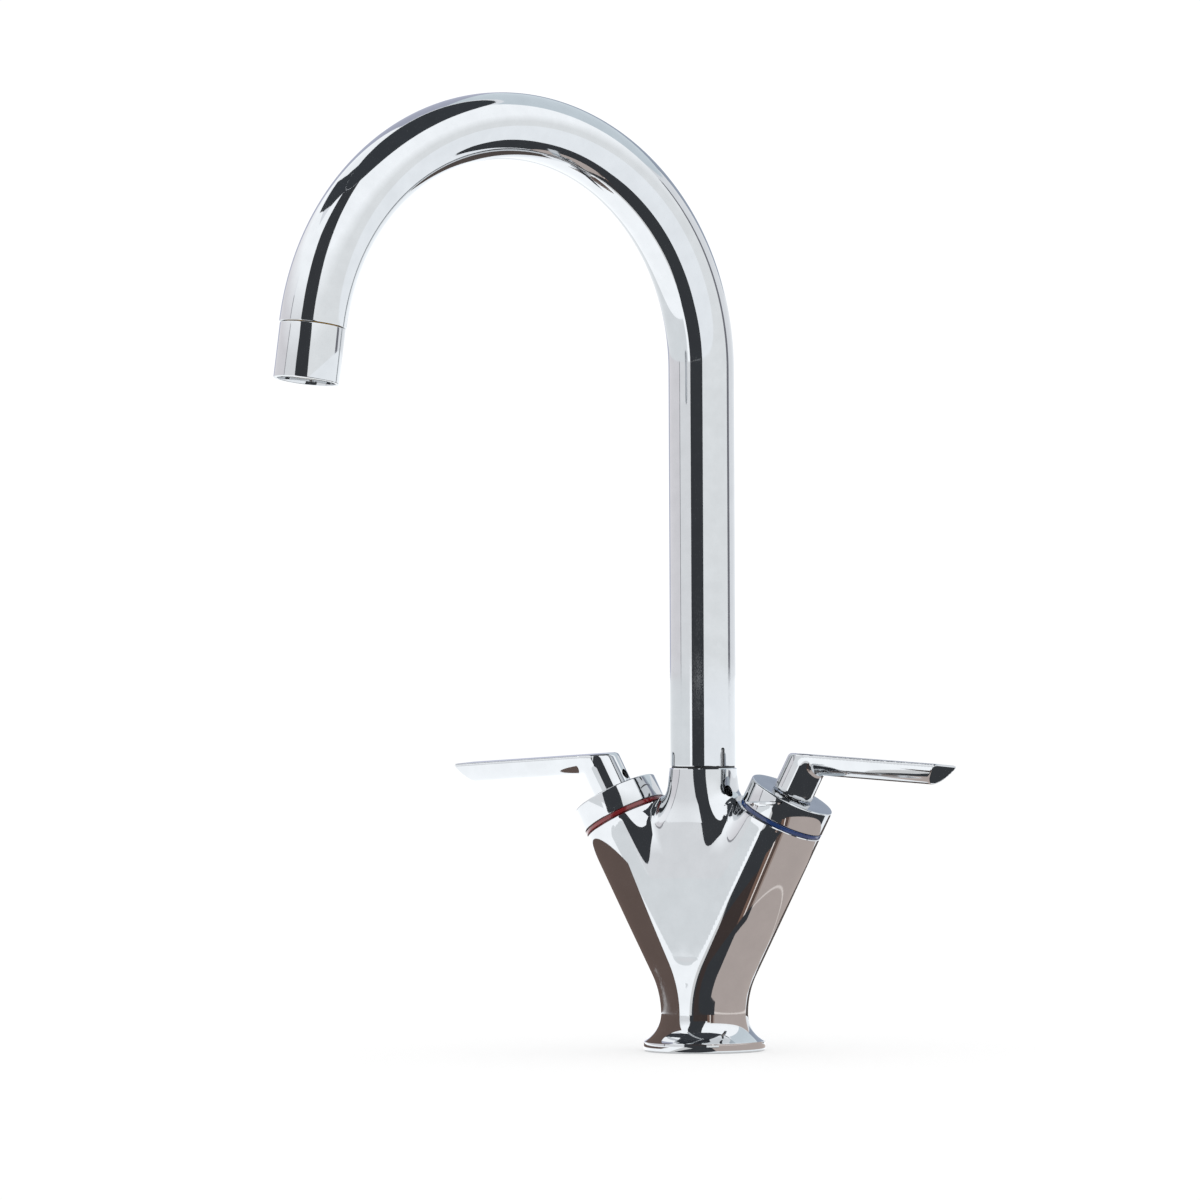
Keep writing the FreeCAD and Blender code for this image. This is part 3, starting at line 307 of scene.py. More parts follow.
band = ([(29.5, FOOT_BAND), (FOOT_R - FOOT_EDGE, FOOT_BAND)]
        + rounding((FOOT_R - FOOT_EDGE, FOOT_BAND - FOOT_EDGE), FOOT_EDGE, 90, 0)
        + rounding((FOOT_R - FOOT_EDGE, FOOT_EDGE), FOOT_EDGE, 0, -90)
        + [(FOOT_R - FOOT_EDGE, -9), (29.5, -9)])
carve(body, turned("bore", valve_bore, arm_place(1)))
carve(body, turned("bore", valve_bore, arm_place(-1)))
carve(body, turned("bore", stub_bore))
carve(body, turned("band", band))
carve(body, turned("underside", seal_groove))


def tapped_hole(name, radius, pitch, depth, place, end=0.0):
    """Cutter for a tapped hole: rings of thread between the mouth and the drilled end."""
    profile = [(0, -1), (radius + 0.5 * pitch, -1), (radius + 0.5 * pitch, 0.2)]
    for i in range(int((depth - 1) / pitch)):
        level = 0.6 + i * pitch
        profile += [(radius, level), (radius + 0.5 * pitch, level + pitch / 2)]
    profile += [(radius, depth - 0.4), (radius, depth), (end, depth + (radius - end) * 0.6)]
    if end:
        profile += [(end, depth + 9), (0, depth + 9 + end * 0.6)]
    return turned(name, profile, place, sides=64)


for side in (1, -1):
    carve(body, tapped_hole("inlet", 4.5, 1.0, 12, Matrix.Translation((7.5 * side, 0, 0)), end=4.0))
carve(body, tapped_hole("stud_hole", 3.4, 1.25, 12, Matrix.Translation((0, 11.5, 0))))
grub_place = (Matrix.Translation((0, 0, GRUB_LEVEL)) @ Matrix.Rotation(GRUB_TURN, 4, "Z")
              @ Matrix.Rotation(pi / 2, 4, "Y"))
grub_hole = [(0, 9), (2, 9), (2, 13.1), (2.25, 13.6), (2.25, 16), (0, 16)]
carve(body, turned("grub_hole", grub_hole, grub_place, sides=48))


SKIN_NEAR = 0.06      # a corner this close to the zero level, in mm, lies on it
SKIN_AGREE = 0.9      # and its face has to lean the same way


def shade_by_skin(piece, skin):
    """Give faces that lie on a distance's zero level its exact normals, and keep other edges crisp."""
    smooth(piece, 28)
    mesh = piece.data
    normals = np.empty(len(mesh.loops) * 3)
    mesh.corner_normals.foreach_get("vector", normals)
    normals = normals.reshape(-1, 3)
    points = np.empty(len(mesh.vertices) * 3)
    mesh.vertices.foreach_get("co", points)
    points = points.reshape(-1, 3) / MM
    value, slope = steepest(skin, points)
    slope /= np.linalg.norm(slope, axis=1)[:, None] + 1e-9
    face_normals = np.empty(len(mesh.polygons) * 3)
    mesh.polygons.foreach_get("normal", face_normals)
    face_normals = face_normals.reshape(-1, 3)
    totals = np.empty(len(mesh.polygons), int)
    mesh.polygons.foreach_get("loop_total", totals)
    corner = np.empty(len(mesh.loops), int)
    mesh.loops.foreach_get("vertex_index", corner)
    face_of = np.repeat(np.arange(len(mesh.polygons)), totals)
    agree = (slope[corner] * face_normals[face_of]).sum(1)
    on_skin = (np.abs(value[corner]) < SKIN_NEAR) & (agree > SKIN_AGREE)
    # a face counts only if all its corners are on the skin
    bad = np.zeros(len(mesh.polygons), bool)
    np.logical_or.at(bad, face_of, ~on_skin)
    use = ~bad[face_of]
    normals[use] = slope[corner[use]]
    mesh.normals_split_custom_set(normals.tolist())


shade_by_skin(body, body_skin)


def linear(code):
    """Linear colour from an sRGB hex code."""
    parts = [int(code[i:i + 2], 16) / 255 for i in (1, 3, 5)]
    return tuple(c / 12.92 if c <= 0.04045 else ((c + 0.055) / 1.055) ** 2.4 for c in parts) + (1.0,)


def add(tree, kind, links=None, **settings):
    """Add a node, set its sockets and properties, and link other nodes' outputs to its inputs."""
    node = tree.nodes.new(kind)
    for name, value in settings.items():
        if hasattr(node, name):
            setattr(node, name, value)
        else:
            node.inputs[name.replace("_", " ")].default_value = value
    for name, source in (links or {}).items():
        tree.links.new(source, node.inputs[name])
    return node


def new_material(name, **sockets):
    """A material with its shader's own sockets set, and its shader."""
    material = bpy.data.materials.new(name)
    material.use_nodes = True
    shader = material.node_tree.nodes["Principled BSDF"]
    for socket, value in sockets.items():
        shader.inputs[socket.replace("_", " ")].default_value = value
    return material, material.node_tree, shader


# Chrome-plated brass, polished and plated: a hard bright mirror.  The eye sees the room in it,
# with a faint cloudiness where it was wiped and a slow ripple left by the polishing wheel.
def plated(name, wipe_mm, ripple):
    """Polished chrome plating, clouded by wiping at one scale and rippled by so much."""
    material, tree, shader = new_material(name, Metallic=1.0)
    where = add(tree, "ShaderNodeTexCoord").outputs["Object"]
    wipe = add(tree, "ShaderNodeTexNoise", {"Vector": where}, Scale=1 / (wipe_mm * MM), Detail=5.0,
               Roughness=0.6)
    haze = add(tree, "ShaderNodeMapRange", {"Value": wipe.outputs["Fac"]}, From_Min=0.35, From_Max=0.7,
               To_Min=0.028, To_Max=0.06)
    tint = add(tree, "ShaderNodeMapRange", {"Value": wipe.outputs["Fac"]}, From_Min=0.3, From_Max=0.7)
    colour = add(tree, "ShaderNodeMix", {"Factor": tint.outputs["Result"]}, data_type="RGBA")
    colour.inputs[6].default_value = linear("#c4c6c8")
    colour.inputs[7].default_value = linear("#caccce")
    slow = add(tree, "ShaderNodeTexNoise", {"Vector": where}, Scale=1 / (28 * MM), Detail=1.0)
    bump = add(tree, "ShaderNodeBump", {"Height": slow.outputs["Fac"]}, Strength=ripple, Distance=0.0004)
    tree.links.new(colour.outputs[2], shader.inputs["Base Color"])
    tree.links.new(haze.outputs["Result"], shader.inputs["Roughness"])
    tree.links.new(bump.outputs["Normal"], shader.inputs["Normal"])
    return material


chrome_on_casting = plated("chrome_plated_cast_brass", 9, 0.12)
chrome_on_turning = plated("chrome_plated_turned_brass", 7, 0.03)


def finish_piece(piece, material, body_name, slot_name, *nodes):
    """Dress a piece, fix it to what carries it, and let it stand for its nodes."""
    piece.data.materials.clear()
    piece.data.materials.append(material)
    if nodes:
        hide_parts(*nodes)
    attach(piece, body_name)
    return piece


finish_piece(body, chrome_on_casting, "tap_body", "chrome_plated_brass", "body")


# ---- Base seal ------------------------------------------------------------------------------
# A flat ring of black nitrile rubber pressed into the groove under the foot.  It is moulded,
# with rounded lips, and keeps water out of the tap hole.
def moulded_rubber(name, code, grain_mm):
    """Moulded nitrile rubber: dull black with a fine talc-like bloom."""
    material, tree, shader = new_material(name, IOR=1.52)
    where = add(tree, "ShaderNodeTexCoord").outputs["Object"]
    grain = add(tree, "ShaderNodeTexNoise", {"Vector": where}, Scale=1 / (grain_mm * MM), Detail=6.0)
    colour = add(tree, "ShaderNodeMix", {"Factor": grain.outputs["Fac"]}, data_type="RGBA")
    colour.inputs[6].default_value = linear(code)
    colour.inputs[7].default_value = linear("#3a3a3a")
    rough = add(tree, "ShaderNodeMapRange", {"Value": grain.outputs["Fac"]}, To_Min=0.5, To_Max=0.75)
    bump = add(tree, "ShaderNodeBump", {"Height": grain.outputs["Fac"]}, Strength=0.3, Distance=0.00004)
    tree.links.new(colour.outputs[2], shader.inputs["Base Color"])
    tree.links.new(rough.outputs["Result"], shader.inputs["Roughness"])
    tree.links.new(bump.outputs["Normal"], shader.inputs["Normal"])
    return material


rubber = moulded_rubber("moulded_nitrile_rubber", "#141414", 0.8)
seal_profile = (rounding((21.7, 0.4), 0.4, -90, 0) + rounding((21.7, 2.0), 0.4, 0, 90)
                + rounding((19.7, 2.0), 0.4, 90, 180) + rounding((19.7, 0.4), 0.4, 180, 270))
base_seal = smooth(turned("base_seal_ring", seal_profile))
finish_piece(base_seal, rubber, "tap_body", "black_rubber", "base_seal")


# ---- Valve headworks, discs and seals --------------------------------------------------------
# Quarter turn ceramic valves in each arm.  The headwork is machined from brass bar and screwed
# down on a seat seal; two lapped alumina discs inside it open and close the water's way.
def machined_brass(name):
    """Machined free-cutting brass: yellow, with the lathe tool's fine feed lines."""
    material, tree, shader = new_material(name, Metallic=1.0)
    where = add(tree, "ShaderNodeTexCoord").outputs["Object"]
    # a wave turns 20 radians in a unit of its scale, so these broken bands lie about 5.7 mm apart,
    # wider than real feed lines
    feed = add(tree, "ShaderNodeTexWave", {"Vector": where}, Scale=1 / (0.9 * MM) / 20, Distortion=1.5,
               Detail=2.0, bands_direction="Z")
    stain = add(tree, "ShaderNodeTexNoise", {"Vector": where}, Scale=1 / (5 * MM), Detail=4.0)
    colour = add(tree, "ShaderNodeMix", {"Factor": stain.outputs["Fac"]}, data_type="RGBA")
    colour.inputs[6].default_value = linear("#c9a24e")
    colour.inputs[7].default_value = linear("#a88440")
    rough = add(tree, "ShaderNodeMapRange", {"Value": feed.outputs["Fac"]}, To_Min=0.2, To_Max=0.32)
    bump = add(tree, "ShaderNodeBump", {"Height": feed.outputs["Fac"]}, Strength=0.2, Distance=0.00003)
    tree.links.new(colour.outputs[2], shader.inputs["Base Color"])
    tree.links.new(rough.outputs["Result"], shader.inputs["Roughness"])
    tree.links.new(bump.outputs["Normal"], shader.inputs["Normal"])
    return material


def lapped_ceramic(name):
    """Lapped alumina: off white, smooth, with faint specks of sintered grain."""
    material, tree, shader = new_material(name, IOR=1.77)
    where = add(tree, "ShaderNodeTexCoord").outputs["Object"]
    speck = add(tree, "ShaderNodeTexVoronoi", {"Vector": where}, Scale=1 / (0.6 * MM))
    colour = add(tree, "ShaderNodeMix", {"Factor": speck.outputs["Distance"]}, data_type="RGBA")
    colour.inputs[6].default_value = linear("#f1efe8")
    colour.inputs[7].default_value = linear("#dcd9cf")
    rough = add(tree, "ShaderNodeMapRange", {"Value": speck.outputs["Distance"]}, To_Min=0.12, To_Max=0.25)
    tree.links.new(colour.outputs[2], shader.inputs["Base Color"])
    tree.links.new(rough.outputs["Result"], shader.inputs["Roughness"])
    return material


def dress(node, material):
    """Give a carried-over CAD solid its material."""
    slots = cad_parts[node].data.materials
    for i in range(len(slots)):
        slots[i] = material
    if not len(slots):
        slots.append(material)


brass = machined_brass("machined_brass")
ceramic = lapped_ceramic("lapped_alumina")
for name in ("hot", "cold"):
    dress(name + "_headwork", brass)
    dress(name + "_fixed_disc", ceramic)
    dress(name + "_moving_disc", ceramic)
    for seal in ("seat_seal", "headwork_seal", "spindle_seals"):
        dress(f"{name}_{seal}", rubber)


# ---- Indicator rings -------------------------------------------------------------------------
# Thin glossy acrylic rings, red for hot and blue for cold, trapped between each arm and its cap
# and flush with both.
def tinted_acrylic(name, light, deep):
    """Moulded tinted acrylic: glossy and deep in colour, with random patches of a lit tone and a shaded tone
    of that colour painted into it as light and shade.
    """
    material, tree, shader = new_material(name, IOR=1.49, Coat_Weight=0.5, Coat_Roughness=0.04)
    where = add(tree, "ShaderNodeTexCoord").outputs["Object"]
    # painted light and shade: a noise cloud mixes a lit tone and a shaded tone of the ring's colour into its
    # base colour, and also sets its roughness
    light_and_shade_cloud = add(tree, "ShaderNodeTexNoise", {"Vector": where}, Scale=1 / (12 * MM), Detail=3.0)
    colour = add(tree, "ShaderNodeMix", {"Factor": light_and_shade_cloud.outputs["Fac"]}, data_type="RGBA")
    colour.inputs[6].default_value = linear(light)
    colour.inputs[7].default_value = linear(deep)
    rough = add(tree, "ShaderNodeMapRange", {"Value": light_and_shade_cloud.outputs["Fac"]}, To_Min=0.12, To_Max=0.24)
    tree.links.new(colour.outputs[2], shader.inputs["Base Color"])
    tree.links.new(rough.outputs["Result"], shader.inputs["Roughness"])
    return material


CAP_BASE, CAP_TOP = ARM_LENGTH + 2.1, ARM_LENGTH + 11.5
RING_LIP = ARM_R - 0.9      # the ring steps back above and below its band
ring_profile = [(14.6, ARM_LENGTH), (RING_LIP, ARM_LENGTH), (RING_LIP, ARM_LENGTH + 0.35)]
ring_profile += rounding((ARM_R - 0.25, ARM_LENGTH + 0.5), 0.15, -90, 0, 3)
ring_profile += rounding((ARM_R - 0.25, CAP_BASE - 0.45), 0.15, 0, 90, 3)
ring_profile += [(RING_LIP, CAP_BASE - 0.3), (RING_LIP, CAP_BASE), (14.6, CAP_BASE)]
# each ring's colour as a lit tone and a shaded tone; the darker one is painted shade
ring_lit_and_shaded_colours = {"hot": ("#8c1a1e", "#4a0c10"), "cold": ("#1a4584", "#0d1a3e")}
for name, side in (("hot", -1), ("cold", 1)):
    ring = smooth(turned(name + "_colour_ring", ring_profile, arm_place(side)))
    tint = tinted_acrylic(name + "_tinted_acrylic", *ring_lit_and_shaded_colours[name])
    slot_name = {"hot": "red_ring", "cold": "blue_ring"}[name]
    finish_piece(ring, tint, "tap_body", slot_name, name + "_indicator_ring")


# ---- Valve caps ------------------------------------------------------------------------------
# Turned brass caps, plated like the body, that screw down on each headwork's neck by a boss
# inside and hide the valve.  The top is flat with a small rounded edge.
cap_profile = ([(15.3, CAP_BASE + 0.3), (15.6, CAP_BASE)]
               + rounding((ARM_R - 0.25, CAP_BASE + 0.25), 0.25, -90, 0, 3)
               + rounding((ARM_R - 0.6, CAP_TOP - 0.6), 0.6, 0, 90, 6)
               + rounding((6.5, CAP_TOP - 0.3), 0.3, 90, 180, 3)
               + [(6.2, CAP_TOP - 2.2), (9.1, CAP_TOP - 2.2), (9.1, CAP_TOP - 7.2), (11.0, CAP_TOP - 7.2),
                  (11.0, CAP_TOP - 2.2), (15.3, CAP_TOP - 2.2)])
for name, side in (("hot", -1), ("cold", 1)):
    cap = smooth(turned(name + "_valve_cap", cap_profile, arm_place(side)))
    finish_piece(cap, chrome_on_turning, "tap_body", "chrome_plated_brass", name + "_cap")


# ---- Spindle clips and grub screws -----------------------------------------------------------
# Spring steel clips hold each spindle down in its headwork.  Blackened grub screws with hex
# sockets hold the levers on their splines and keep the spout in the stub.
def satin_steel(name, dark, light):
    """Rolled or turned steel: soft sheen, fine random scratches."""
    material, tree, shader = new_material(name, Metallic=1.0)
    where = add(tree, "ShaderNodeTexCoord").outputs["Object"]
    stretch = add(tree, "ShaderNodeMapping", {"Vector": where}, Scale=(1, 1, 12))
    scratch = add(tree, "ShaderNodeTexNoise", {"Vector": stretch.outputs["Vector"]}, Scale=1 / (2 * MM),
                  Detail=5.0)
    colour = add(tree, "ShaderNodeMix", {"Factor": scratch.outputs["Fac"]}, data_type="RGBA")
    colour.inputs[6].default_value = linear(dark)
    colour.inputs[7].default_value = linear(light)
    rough = add(tree, "ShaderNodeMapRange", {"Value": scratch.outputs["Fac"]}, To_Min=0.25, To_Max=0.42)
    tree.links.new(colour.outputs[2], shader.inputs["Base Color"])
    tree.links.new(rough.outputs["Result"], shader.inputs["Roughness"])
    return material


steel = satin_steel("satin_stainless_steel", "#8d8e90", "#b4b4b5")
black_steel = satin_steel("blackened_steel", "#1c1d1f", "#2e2f31")
for name in ("hot", "cold"):
    dress(name + "_spindle_clip", steel)
    dress(name + "_spindle", steel)


def hex_socket_screw(name, radius, low, high, socket, place, point=0.0, shoulder=0.0):
    """A grub screw along Z with thread rings, a hexagon socket in its outer end, and any dog point."""
    pitch, groove, chamfer = 0.5, 0.22, 0.25
    profile = [(0, low)]
    if point:
        profile += [(point - 0.2, low), (point, low + 0.2), (point, shoulder)]
        low = shoulder
    profile += [(radius - chamfer, low), (radius, low + chamfer)]
    for i in range(int((high - low - 2 * chamfer) / pitch)):
        level = low + chamfer + i * pitch
        profile += [(radius - groove, level + pitch / 2), (radius, level + pitch)]
    profile += [(radius - chamfer, high), (0, high)]
    screw = turned(name, profile, place, sides=48)
    hexagon = [(0, high - 1.2), (socket * 0.3, high - 1.0), (socket, high - 1.0), (socket, high - 0.12),
               (socket + 0.25, high + 0.1), (0, high + 0.1)]
    return smooth(carve(screw, turned("hex", hexagon, place, sides=6)), 25)


grub = hex_socket_screw("spout_grub", 1.95, 8.65, 12.1, 1.05, grub_place, point=1.2, shoulder=10.3)
finish_piece(grub, black_steel, "tap_body", "stainless_steel", "spout_grub_screw")


# ---- Levers ----------------------------------------------------------------------------------
# Each lever is one die cast piece, plated: a round hub on the spindle's spline, and a half round
# bar with a flat top that leaves the hub almost level and is cut off at a slant at its end.
HUB_R = 8.1
HUB_BASE, HUB_TOP = CAP_TOP + 0.3, CAP_TOP + 17.7
BAR_RISE = ARM_TILT - radians(3.7)
BAR_LENGTH = 62.5
TIP_SLOPE = radians(37)
LEVER_EDGE = 0.7           # radius of the flat top's edge
TIP_EDGE, BASE_EDGE, HUB_BLEND = 0.7, 0.7, 1.6    # widths of the other roundings
BAR_BACK = 2.0             # the bar starts this far behind the hub's middle
LEVER_STEP = 0.62          # spacing of the mesh's points
HOT_TURN, COLD_TURN = -5.0, -8.5                  # degrees from straight out, as photographed
along = np.array([cos(BAR_RISE), 0, sin(BAR_RISE)])
normal = np.array([-sin(BAR_RISE), 0, cos(BAR_RISE)])
hub_head = np.array([0, 0, HUB_TOP])
past = along * cos(TIP_SLOPE) - normal * sin(TIP_SLOPE)


def rounded_corner(a, b, width):
    """Larger of two distances, with the outer edge between them rounded over a width."""
    return -rounded_union(-a, -b, width)


def lever_skin(p):
    """Distance to the lever's outside, in the arm's own frame."""
    q = p - hub_head
    up = q @ normal
    out = q @ along
    hub = np.hypot(p[:, 0], p[:, 1]) - HUB_R
    bar = np.hypot(p[:, 1], up) - HUB_R
    bar = np.maximum(bar, -out - BAR_BACK)
    bar = rounded_corner(bar, (q - along * BAR_LENGTH) @ past, TIP_EDGE)
    both = rounded_union(hub, bar, HUB_BLEND)
    both = rounded_corner(both, up, 2 * LEVER_EDGE)
    return rounded_corner(both, HUB_BASE - p[:, 2], BASE_EDGE)


spline_bore = [(0, 83), (4.3, 83), (4.3, HUB_BASE), (3.75, HUB_BASE + 0.5), (3.75, 96.6), (0, 98.2)]
screw_hole = [(0, 3), (2, 3), (2, 7.8), (2.2, 8.4), (2.2, 12), (0, 12)]
screw_place = Matrix.Translation((0, 0, HUB_BASE + 4.4)) @ Matrix.Rotation(-pi / 2, 4, "Y")
lever_points, lever_faces = skin_mesh(lever_skin, (-12, -10.5, 82), (64, 10.5, 131), LEVER_STEP)
for name, side, turn in (("hot", -1, HOT_TURN), ("cold", 1, COLD_TURN)):
    lever = new_piece(name + "_lever_handle", lever_points, lever_faces)
    face_outwards(lever.data)
    carve(lever, turned("spline_bore", spline_bore, sides=48))
    carve(lever, turned("screw_hole", screw_hole, screw_place, sides=48))
    shade_by_skin(lever, lever_skin)
    place = arm_place(side, turn)
    lever.data.transform(Matrix.Scale(MM, 4) @ place @ Matrix.Scale(1 / MM, 4))
    finish_piece(lever, chrome_on_turning, name + "_handle", "chrome_plated_brass", name + "_lever")
    screw = hex_socket_screw(name + "_lever_grub", 1.95, 3.8, 7.3, 1.0, place @ screw_place)
    finish_piece(screw, black_steel, name + "_handle", "stainless_steel", name + "_lever_screw")


# ---- Spout tube ------------------------------------------------------------------------------
# Drawn brass tube bent to a swan neck on a mandrel, then polished and plated.  A short slot in
# its foot takes the nipple's key, so that the two turn together.
TUBE_R, TUBE_WALL = 13.0, 1.5
TUBE_BASE, TUBE_STRAIGHT = 112.65, 270.0
BEND_R, BEND_SWEEP = 93.0, radians(171.5)
SPOUT_TURN = radians(-90 - 28.5)
SLOT_W, SLOT_H = 1.7, 7.5
spout_place = Matrix.Rotation(SPOUT_TURN, 4, "Z")


def tube_line(distance):
    """Point on the middle of the tube, and the direction to its side there."""
    straight = TUBE_STRAIGHT - TUBE_BASE
    if distance <= straight:
        return Vector((0, 0, TUBE_BASE + distance)), Vector((1, 0, 0))
    a = (distance - straight) / BEND_R
    middle = Vector((BEND_R * (1 - cos(a)), 0, TUBE_STRAIGHT + BEND_R * sin(a)))
    return middle, Vector((cos(a), 0, -sin(a)))


def swept_tube(name, sides=144):
    """The bent tube with its bore, rounded at both ends."""
    length = TUBE_STRAIGHT - TUBE_BASE + BEND_R * BEND_SWEEP
    stations = [0.0, 0.12, 0.4] + list(np.linspace(4, TUBE_STRAIGHT - TUBE_BASE, 24))
    stations += list(TUBE_STRAIGHT - TUBE_BASE + BEND_R * np.linspace(0, BEND_SWEEP, 150)[1:-1])
    stations += [length - 0.4, length - 0.12, length]
    last = len(stations) - 1
    trim = {0: 0.25, 1: 0.07, last - 1: 0.07, last: 0.25}
    flare = {0: 0.2, last: 0.2}
    rows = [(stations[i], TUBE_R - trim.get(i, 0)) for i in range(last + 1)]
    rows += [(stations[i], TUBE_R - TUBE_WALL + flare.get(i, 0)) for i in range(last, -1, -1)]
    points = []
    for s, radius in rows:
        middle, aside = tube_line(s)
        for i in range(sides):
            a = 2 * pi * i / sides
            points.append(middle + aside * radius * cos(a) + Vector((0, 1, 0)) * radius * sin(a))
    faces = []
    for row in range(len(rows)):
        low, high = row * sides, ((row + 1) % len(rows)) * sides
        faces += [(low + i, low + (i + 1) % sides, high + (i + 1) % sides, high + i) for i in range(sides)]
    tube = new_piece(name, points, faces)
    face_outwards(tube.data)
    return tube


def tube_skin(p):
    """Distance to the outside of the tube, for its shading."""
    x, y, z = p.T
    off = np.where(z < TUBE_STRAIGHT, x, np.hypot(x - BEND_R, z - TUBE_STRAIGHT) - BEND_R)
    return np.hypot(off, y) - TUBE_R


tube = swept_tube("spout_swan_neck")
slot_top = TUBE_BASE + SLOT_H - SLOT_W / 2
outline = [(-SLOT_W / 2, TUBE_BASE - 1), (SLOT_W / 2, TUBE_BASE - 1)]
outline += [(SLOT_W / 2 * cos(a), slot_top + SLOT_W / 2 * sin(a)) for a in np.linspace(0, pi, 17)]
count = len(outline)
slot_points = [(x, y, z) for y in (8.0, 16.0) for x, z in outline]
slot_faces = [tuple(range(count)), tuple(range(2 * count - 1, count - 1, -1))]
slot_faces += [(i, (i + 1) % count, count + (i + 1) % count, count + i) for i in range(count)]
slot = new_piece("slot", slot_points, slot_faces)
face_outwards(slot.data)
carve(tube, slot)
shade_by_skin(tube, tube_skin)
tube.data.transform(spout_place)
finish_piece(tube, chrome_on_turning, "swivel_spout", "chrome_plated_brass", "spout_tube")


# ---- Spout nipple, seals and glide ring ------------------------------------------------------
# A brass nipple is fixed in the tube's foot and turns in the stub on two O-rings.  A thin black
# acetal ring on the stub keeps the two plated edges apart; it shows as a dark line.
def moulded_acetal(name, light, dark, rough_low, rough_high):
    """Moulded acetal: waxy and even, with a slight mould texture."""
    material, tree, shader = new_material(name, IOR=1.48)
    where = add(tree, "ShaderNodeTexCoord").outputs["Object"]
    grain = add(tree, "ShaderNodeTexNoise", {"Vector": where}, Scale=1 / (1.5 * MM), Detail=4.0)
    colour = add(tree, "ShaderNodeMix", {"Factor": grain.outputs["Fac"]}, data_type="RGBA")
    colour.inputs[6].default_value = linear(light)
    colour.inputs[7].default_value = linear(dark)
    rough = add(tree, "ShaderNodeMapRange", {"Value": grain.outputs["Fac"]}, To_Min=rough_low,
                To_Max=rough_high)
    tree.links.new(colour.outputs[2], shader.inputs["Base Color"])
    tree.links.new(rough.outputs["Result"], shader.inputs["Roughness"])
    return material


dark_acetal = moulded_acetal("moulded_dark_acetal", "#2a2a2c", "#1b1b1d", 0.4, 0.55)
glide_profile = [(10.5, 112.0), (12.35, 112.0)] + rounding((12.35, 112.15), 0.15, -90, 0, 3)
glide_profile += rounding((12.35, 112.4), 0.15, 0, 90, 3) + [(10.5, 112.55)]
glide_ring = smooth(turned("spout_glide_ring", glide_profile))
finish_piece(glide_ring, dark_acetal, "tap_body", "white_plastic", "glide_ring")
# the nipple is nickel plated, and as grey as the steel
dress("spout_nipple", steel)
dress("spout_seals", rubber)


# ---- Aerator ---------------------------------------------------------------------------------
# A brass ferrule in the tube's end carries a threaded, plated collar.  The collar holds a
# moulded plastic aerator against a rubber washer; its perforated face shows from below.
end_point, _ = tube_line(TUBE_STRAIGHT - TUBE_BASE + BEND_R * BEND_SWEEP)
outlet_place = spout_place @ Matrix.Translation(end_point) @ Matrix.Rotation(BEND_SWEEP, 4, "Y")
dress("spout_ferrule", brass)
dress("aerator_washer", rubber)
COLLAR_R, COLLAR_LENGTH = 12.65, 21.7
collar_profile = ([(11.35, 0.25)] + rounding((COLLAR_R - 0.4, 0.65), 0.4, -90, 0, 4)
                  + rounding((COLLAR_R - 0.4, COLLAR_LENGTH - 0.4), 0.4, 0, 90, 4)
                  + rounding((11.5, COLLAR_LENGTH - 0.25), 0.25, 90, 180, 3)
                  + [(11.25, 18.2), (10.15, 18.2), (10.15, 17.0), (11.25, 17.0), (11.25, 0.4)])
collar = smooth(turned("aerator_collar", collar_profile, outlet_place))
finish_piece(collar, chrome_on_turning, "swivel_spout", "chrome_plated_brass", "aerator_housing")

white_acetal = moulded_acetal("moulded_white_acetal", "#e4e4e1", "#cfcfcb", 0.35, 0.5)
aerator_profile = [(8.85, 9.8), (11.15, 9.8), (11.15, 16.9), (10.05, 16.9), (10.05, 19.3), (9.75, 19.6),
                   (0, 19.6), (0, 18.4), (8.85, 18.4)]
aerator = turned("aerator_cartridge", aerator_profile, sides=96)
for circle, number in ((2.2, 6), (4.4, 12), (6.6, 18), (8.3, 24)):
    for i in range(number):
        a = 2 * pi * i / number
        hole = turned("hole", [(0, 17.5), (0.55, 17.5), (0.55, 19.3), (0.75, 19.9), (0, 19.9)],
                      Matrix.Translation((circle * cos(a), circle * sin(a), 0)), sides=10)
        carve(aerator, hole)
aerator.data.transform(Matrix.Scale(MM, 4) @ outlet_place @ Matrix.Scale(1 / MM, 4))
finish_piece(smooth(aerator), white_acetal, "swivel_spout", "white_plastic", "aerator_insert")


# ---- Floor, light and camera -----------------------------------------------------------------
# A pale floor under a white sky.  Large soft panels far round the tap and cards close by are seen
# only as the plating mirrors them, and give it its dark, grey and brown streaks.
CAMERA_TURN = radians(24.7)     # the camera stands this far to the right of the front
CAMERA_FAR = 2.994
PANEL_GLOW = 1.75
FADE_LOW, FADE_HIGH = 4.5, 10.5     # heights, in metres, between which a panel fades to its upper colour
PANEL_LEVEL = 0.17                  # height, in metres, that a panel's elevations are measured from
CARD_STEPS = 18                     # a card's arc is made of so many faces


def glowing(name, code, high_code=None):
    """Glowing cloth of a studio panel, even or fading to another colour towards its top."""
    material, tree, shader = new_material(name, Roughness=1.0, Specular_IOR_Level=0.0)
    shader.inputs["Base Color"].default_value = (0, 0, 0, 1)
    shader.inputs["Emission Color"].default_value = linear(code)
    shader.inputs["Emission Strength"].default_value = PANEL_GLOW
    if high_code:
        where = add(tree, "ShaderNodeTexCoord").outputs["Object"]
        height = add(tree, "ShaderNodeSeparateXYZ", {"Vector": where}).outputs["Z"]
        fade = add(tree, "ShaderNodeMapRange", {"Value": height}, From_Min=FADE_LOW, From_Max=FADE_HIGH)
        colour = add(tree, "ShaderNodeMix", {"Factor": fade.outputs["Result"]}, data_type="RGBA")
        colour.inputs[6].default_value = linear(code)
        colour.inputs[7].default_value = linear(high_code)
        tree.links.new(colour.outputs[2], shader.inputs["Emission Color"])
    return material


